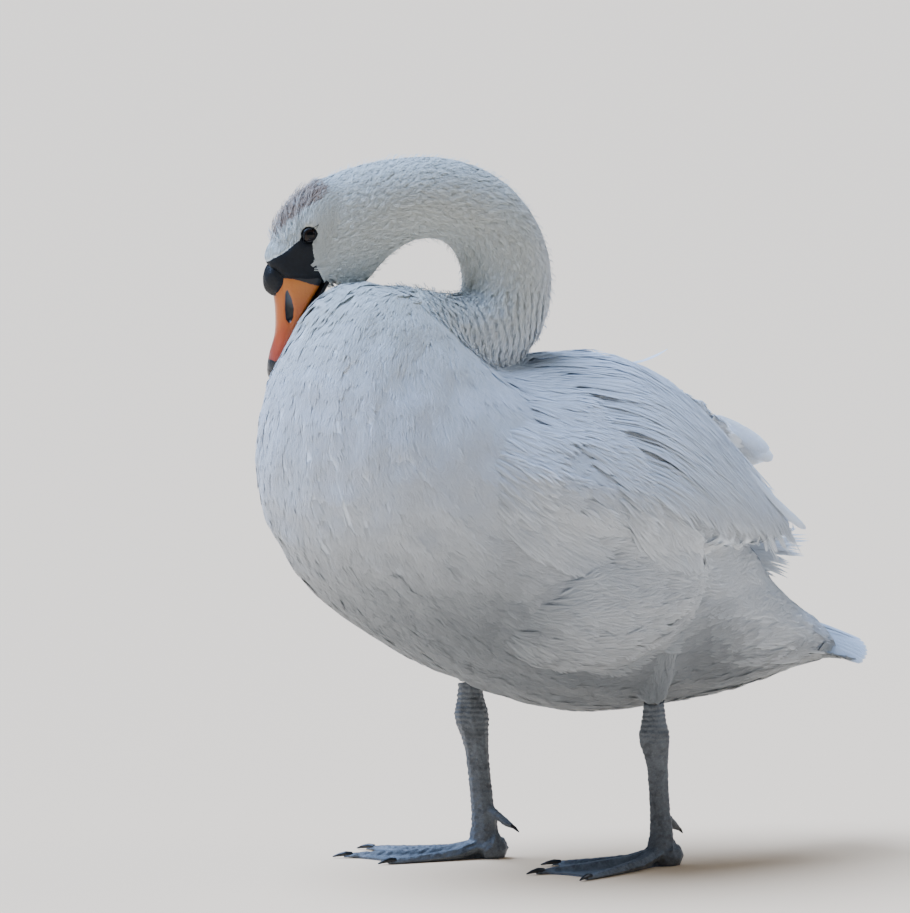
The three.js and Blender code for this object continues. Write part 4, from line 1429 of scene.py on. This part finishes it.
def wing_point(side, hand, u, v):
    """A place on a folded wing's outer face, in the bird's millimetres: u from its wrist to its tip, v from
    its upper edge to its lower, each running on past 1."""
    at = np.asarray(u, float) * (len(WING) - 1)
    first = np.clip(at.astype(int), 0, len(WING) - 2)
    share = (at - first)[..., None]
    row = blend(WING[first], WING[first + 1], share)
    x, upper_y, upper_z, lower_y, lower_z, bulge = np.moveaxis(row, -1, 0)
    v = np.asarray(v, float)
    down = unit(np.stack([lower_y - upper_y, lower_z - upper_z], -1))
    swell = np.maximum(bulge, 0) * np.sqrt(np.clip(4 * v * (1 - v), 0, 1))
    y = blend(upper_y, lower_y, v) - down[..., 1] * swell
    z = blend(upper_z, lower_z, v) + down[..., 0] * swell
    tipward = np.clip((u - 0.55) / 0.45, 0, 1.3)
    return np.stack([x - WING_LONG[side] * tipward, hand * y, z + WING_LIFT[side] * tipward**2], -1)


def uv_at(places):
    return np.array([skin_uv[skin_tree.find_nearest(Vector(place))[2], 0] for place in places])


class Quills:
    """Long feathers, each along a path of its own laid over the skin, in one coat."""

    def __init__(self, coat, seed, rows=16, columns=7):
        self.coat, self.rng = coat, np.random.default_rng(seed)
        self.rows, self.columns = rows, columns
        self.feathers = []

    def add(self, path, up, width, rise):
        self.feathers.append((path, np.broadcast_to(up, path.shape), width, rise))

    def finish(self, ragged=0.05, point=0.6, camber=0.5, thick=0.35, blades=0, overlap=2.0):
        rng = self.rng
        paths, ups, width, rises = (np.array(column, float) for column in zip(*self.feathers))
        ups = unit(ups)
        many, stations = paths.shape[:2]
        low, high = rises.T
        length = np.linalg.norm(np.diff(paths, axis=1), axis=2).sum(1)
        if blades:
            looks = dict(spread=0.45, thick=0.25, ragged=ragged, lift=0.25, overlap=overlap, curl=0.02)
            rise = (low[:, None], high)
            s, u, h = fan_shape(many, length, width, blades, rise, rng, LONG_BLADE, **looks)
            faces = blade_faces(len(LONG_BLADE), blades)
            lean = blade_leans(len(LONG_BLADE), blades)[None]
        else:
            shape = (ragged, point, camber, thick)
            s, u, h = vane_shape(many, self.rows, self.columns, width, (low, high), rng, *shape)
            faces = vane_grid(self.rows, self.columns)
            lean = VANE_LEAN * 2 * u / width[:, None]
        at = np.clip(s, 0, 1.05) * (stations - 1)
        first = np.clip(at.astype(int), 0, stations - 2)
        share = (at - first)[..., None]
        which = np.arange(many)[:, None]
        ground = blend(paths[which, first], paths[which, first + 1], share)
        up = unit(blend(ups[which, first], ups[which, first + 1], share))
        ways = np.gradient(paths, axis=1)
        forward = unit(blend(ways[which, first], ways[which, first + 1], share))
        side = unit(np.cross(up, forward))
        points = ground + side * u[..., None] + up * h[..., None]
        leans = unit(up + side * lean[..., None])
        local = np.stack([u / width[:, None], np.clip(s, 0, 1) * 2 - 1], -1)
        uv = uv_at(paths[:, 0])[:, None] + local * PATCH_REACH
        tone = np.concatenate([stains(paths[:, stations // 2]), rng.uniform(0, 1, (many, 1))], 1)
        vane = np.stack([u, s * length[:, None]], -1)
        # The share along each feather, by which the plumage paints the covered part greyer as shade.
        self.coat.add(points, leans, faces, uv, vane, s, tone, rng.uniform(0, 40, many))


def wing_path(side, hand, start, end, sag=0.0, tip=None, clear=1.6):
    """A path over a folded wing from start to end, each (u, v), bent to a tip in the bird's millimetres if one
    is given, and the wing's outward ways along it. It stays clear of the skin by some millimetres."""
    share = np.linspace(0, 1, STATIONS)
    u = blend(start[0], end[0], share)
    v = blend(start[1], end[1], share) + sag * 4 * share * (1 - share)
    small = 0.01
    place = lambda along, lower: wing_point(side, hand, along, lower)
    path = place(u, v)
    forth = place(u + small, v) - place(u - small, v)
    down = place(u, np.clip(v + small, 0, 1)) - place(u, np.clip(v - small, 0, 1))
    ways = unit(np.cross(down, forth) * hand)
    path += BIRD
    if tip is not None:
        path += (np.array(tip) + BIRD - path[-1]) * share[:, None] ** 2
    places, skin_ways = on_skin(path)
    under = clear - ((path - places) * skin_ways).sum(1)
    near = np.linalg.norm(path - places, axis=1) < 20
    path += skin_ways * (np.clip(under, 0, 16) * near)[:, None]
    for at in range(1, STATIONS):
        ways[at] = unit(blend(ways[at - 1], ways[at], 0.6))
    for _ in range(2):
        path[1:-1] = (path[:-2] + 2 * path[1:-1] + path[2:]) / 4
    return path, ways


def straight_path(root, tip, bow, stations=STATIONS):
    """A path in the bird's millimetres from root to tip, bowed upwards, as frame millimetres."""
    share = np.linspace(0, 1, stations)[:, None]
    path = blend(np.array(root, float), np.array(tip, float), share)
    return path + [0, 0, bow] * np.sin(share * math.pi) + BIRD


FAN_END = {"left": -300, "right": -268}  # how far back the short feathers of each wing reach
# A folded wing's flight feathers: where each leaves the others (u, v), its tip on the left side, its width.
FLIGHTS = [
    ((0.60, 0.74), (-262, 84, 312), 17), ((0.63, 0.66), (-276, 79, 310), 17),
    ((0.66, 0.56), (-290, 73, 312), 17), ((0.69, 0.44), (-305, 67, 316), 18),
    ((0.73, 0.30), (-321, 60, 329), 19),
]
# The raised tip's broad feathers: root, tip and width.
RAISED_TIP = [
    ((-250, -20, 424), (-327, -25, 392), 24), ((-252, -18, 432), (-342, -24, 393), 22),
    ((-250, -16, 440), (-336, -22, 402), 20),
]
STRAND_FROM, STRAND_TO, STRAND_STEP, STRAND_ROWS = 0.18, 0.84, 0.06, 15
WISPS = 16


def lay_short_feathers(side, seed):
    """The wing's own short feathers, and over its front half the soft ones of the breast and side, which end
    in a loose edge."""
    coat = Coat("wing_feathers_" + side)
    faces = face_home == "wing_" + side
    gap = blend(8.0, 9.5, ease(60, -60, x_face))
    every = scatter(faces & (x_face > FAN_END[side]), spacing=gap, seed=seed, stray=4.0)
    over = side_fluff(every.place)
    roots = every.only(over < 0.06)
    length = blend(30.0, 24.0, ease(-225, -296, (roots.place - BIRD)[:, 0]))
    along, down = on_wing(roots.place)
    length = np.where((along > 0.5) & (down > 0.86), 13.0, length)
    add_fans(coat, roots, length=length, width=15.0, blades=9, rise=(0.2, 1.8), seed=seed + 1, ragged=0.24)
    fluff = every.only(over > -0.06)
    back = ease(110, -60, (fluff.place - BIRD)[:, 0])
    fluff.turn((-0.75, 0.0, -0.66), blend(0.6, 0.9, back))
    looks = dict(ragged=0.22, covered_shade=0.6)
    add_fans(coat, fluff, length=32.0, width=18.0, blades=14, rise=(0.3, 2.6), seed=seed + 7, **looks)
    edge = fluff.only(side_fluff(fluff.place) < 0.4)
    looks = dict(form=LONG_BLADE, ragged=0.3, lift=0.5, covered_shade=0.6)
    add_fans(coat, edge, length=46.0, width=24.0, blades=14, rise=(0.4, 5.4), seed=seed + 8, **looks)
    coat.finish()


def lay_flights(coat, side, hand, seed):
    quills = Quills(coat, seed, rows=20, columns=7)
    for k, (start, tip, width) in enumerate(FLIGHTS):
        tip = np.array(tip, float) * (1, hand, 1) + TIP_SHIFT[side]
        path, up = wing_path(side, hand, start, (0.97, 0.9), 0.0, tip)
        quills.add(path, up, width, (0.8, 1.2 + 0.9 * k))
    quills.finish(ragged=0.012, point=0.5, camber=0.5, thick=0.5)


def lay_strands(coat, side, hand, seed, rng):
    """The tertials and long scapulars that droop over the flights, their soft barbs parted into strands."""
    strands = Quills(coat, seed)
    for u in np.arange(STRAND_FROM, STRAND_TO, STRAND_STEP):
        # How far a strand runs along the wing, how steeply down it, and how low it may end.
        longest = blend(0.15, 0.27, ease(0.15, 0.5, u))
        droop = 0.15 + 1.35 * ease(0.2, 0.55, u) + 2.4 * ease(0.55, 0.8, u)
        lowest = blend(0.95, 0.98, ease(0.5, 0.8, u))
        for k in range(STRAND_ROWS):
            start = (u + rng.uniform(-0.03, 0.03), (k + rng.uniform(0, 1)) / STRAND_ROWS)
            reach = blend(longest * rng.uniform(0.85, 1.15), 0.14, ease(0.55, 0.8, u))
            reach = min(reach, (lowest - start[1]) / droop - 0.005)
            end = (min(start[0] + reach, 0.94 - 0.06 * start[1]), start[1] + droop * reach)
            hidden = start[1] > np.interp(start[0], *FLUFF_LINE) + 0.15
            if end[0] > start[0] + 0.06 and not hidden:
                path, up = wing_path(side, hand, start, end, -0.1 * reach * (droop > 0.6))
                strands.add(path, up, rng.uniform(21, 27), (-2.6, rng.uniform(2.4, 3.2)))
    strands.finish(ragged=0.26, blades=13)


def lay_raised_tip(coat, seed):
    """The raised wing's tip shows its inner side: three broad feathers, one over the next."""
    tips = Quills(coat, seed, rows=20, columns=7)
    for root, tip, width in RAISED_TIP:
        tips.add(straight_path(root, tip, 3), [0.25, 0.9, 0.35], width, (0.4, 0.8))
    tips.finish(ragged=0.012, point=0.6, camber=0.4, thick=0.6)


def lay_wisps(coat, side, hand, seed, rng):
    """Frayed barbs that hang from the hind edge."""
    wisps = Quills(coat, seed)
    for _ in range(WISPS):
        start = (rng.uniform(0.8, 0.95), rng.uniform(0.72, 0.98))
        fall = np.array([-0.5, 0.05 * hand, -0.85]) * rng.uniform(22, 36)
        tip = wing_point(side, hand, *start) + fall
        path, up = wing_path(side, hand, start, (start[0] + 0.02, start[1]), 0.0, tip, clear=1.0)
        wisps.add(path, up, rng.uniform(7, 12), (0.6, 1.4))
    wisps.finish(ragged=0.4, blades=6, overlap=0.6)


def dress_wing(side, hand):
    seed = SEED + 60 + 10 * hand
    lay_short_feathers(side, seed)
    coat = Coat("wing_quills_" + side)
    rng = np.random.default_rng(seed + 3)
    lay_flights(coat, side, hand, seed + 4)
    lay_strands(coat, side, hand, seed + 5, rng)
    if side == "right":
        lay_raised_tip(coat, seed + 7)
    lay_wisps(coat, side, hand, seed + 6, rng)
    coat.finish()


for side, hand in SIDES:
    dress_wing(side, hand)

TAIL_PAIRS, PLUME_FEATHERS = 7, 46
# The middle tail feather's root and tip, in millimetres, with half the spread of all of them as y, and how
# much lower the outermost pair has them.
TAIL_ROOT, TAIL_TIP = np.array([-306, 22, 243]), np.array([-433, 51, 203])
ROOT_DROP, TIP_DROP = 20, 13


def dress_tail():
    coat = Coat("tail_feathers")
    quills = Quills(coat, SEED + 90, rows=24, columns=9)
    for place in np.linspace(-1, 1, 2 * TAIL_PAIRS):
        out = abs(place)
        root = TAIL_ROOT * (1, place, 1) - (0, 0, ROOT_DROP * out)
        tip = TAIL_TIP * (1, place, 1) + (30 * place**2, 0, -TIP_DROP * out)
        up = [0.28, 0.5 * place, 0.95]
        quills.add(straight_path(root, tip, 5), up, 21 - 2 * out, (1.0, 4.4 - 4.0 * out))
    quills.finish(ragged=0.012, point=0.76, camber=1.4, thick=0.8)
    roots = scatter((face_kind == "tail") & (x_face > -400), spacing=9.0, seed=SEED + 91, stray=5.0)
    under = ease(-0.3, -0.7, roots.normal[:, 2])
    keep = (roots.place - BIRD)[:, 0] > blend(-302, -398, under)
    add_fans(
        coat, roots.only(keep), length=30.0, width=15.0, blades=11, rise=(0.4, 2.6), seed=SEED + 92,
        form=LONG_BLADE, ragged=0.3,
    )
    # A ragged plume of rump feathers stands off over the tail.
    plume = Quills(coat, SEED + 93)
    rng = np.random.default_rng(SEED + 94)
    for low in np.linspace(0, 1, PLUME_FEATHERS):
        aside = rng.uniform(-28, 36)
        root = (-232 - 10 * low, aside, 314 - 22 * low)
        tip = (-348 + 56 * low + rng.uniform(-8, 8), 1.1 * aside, 309 - 33 * low + rng.uniform(-3, 3))
        plume.add(straight_path(root, tip, 5), [0.3, 0.5 + 0.01 * aside, 0.8], 24.0, (-0.5, 1.0))
    plume.finish(ragged=0.32, blades=11, overlap=1.7)
    coat.finish()


def add_stray():
    """One thin feather that stands off the middle of the back."""
    coat = Coat("stray_feather")
    quills = Quills(coat, SEED + 96, rows=14, columns=5)
    path = straight_path((-142, -8, 500), (-206, -12, 511), -5, 9)
    quills.add(path, [0.1, 0.3, 1.0], 5.0, (0.5, 0.5))
    quills.finish(ragged=0.04, point=0.3, camber=0.4, thick=0.4)
    coat.finish()


dress_tail()
add_stray()
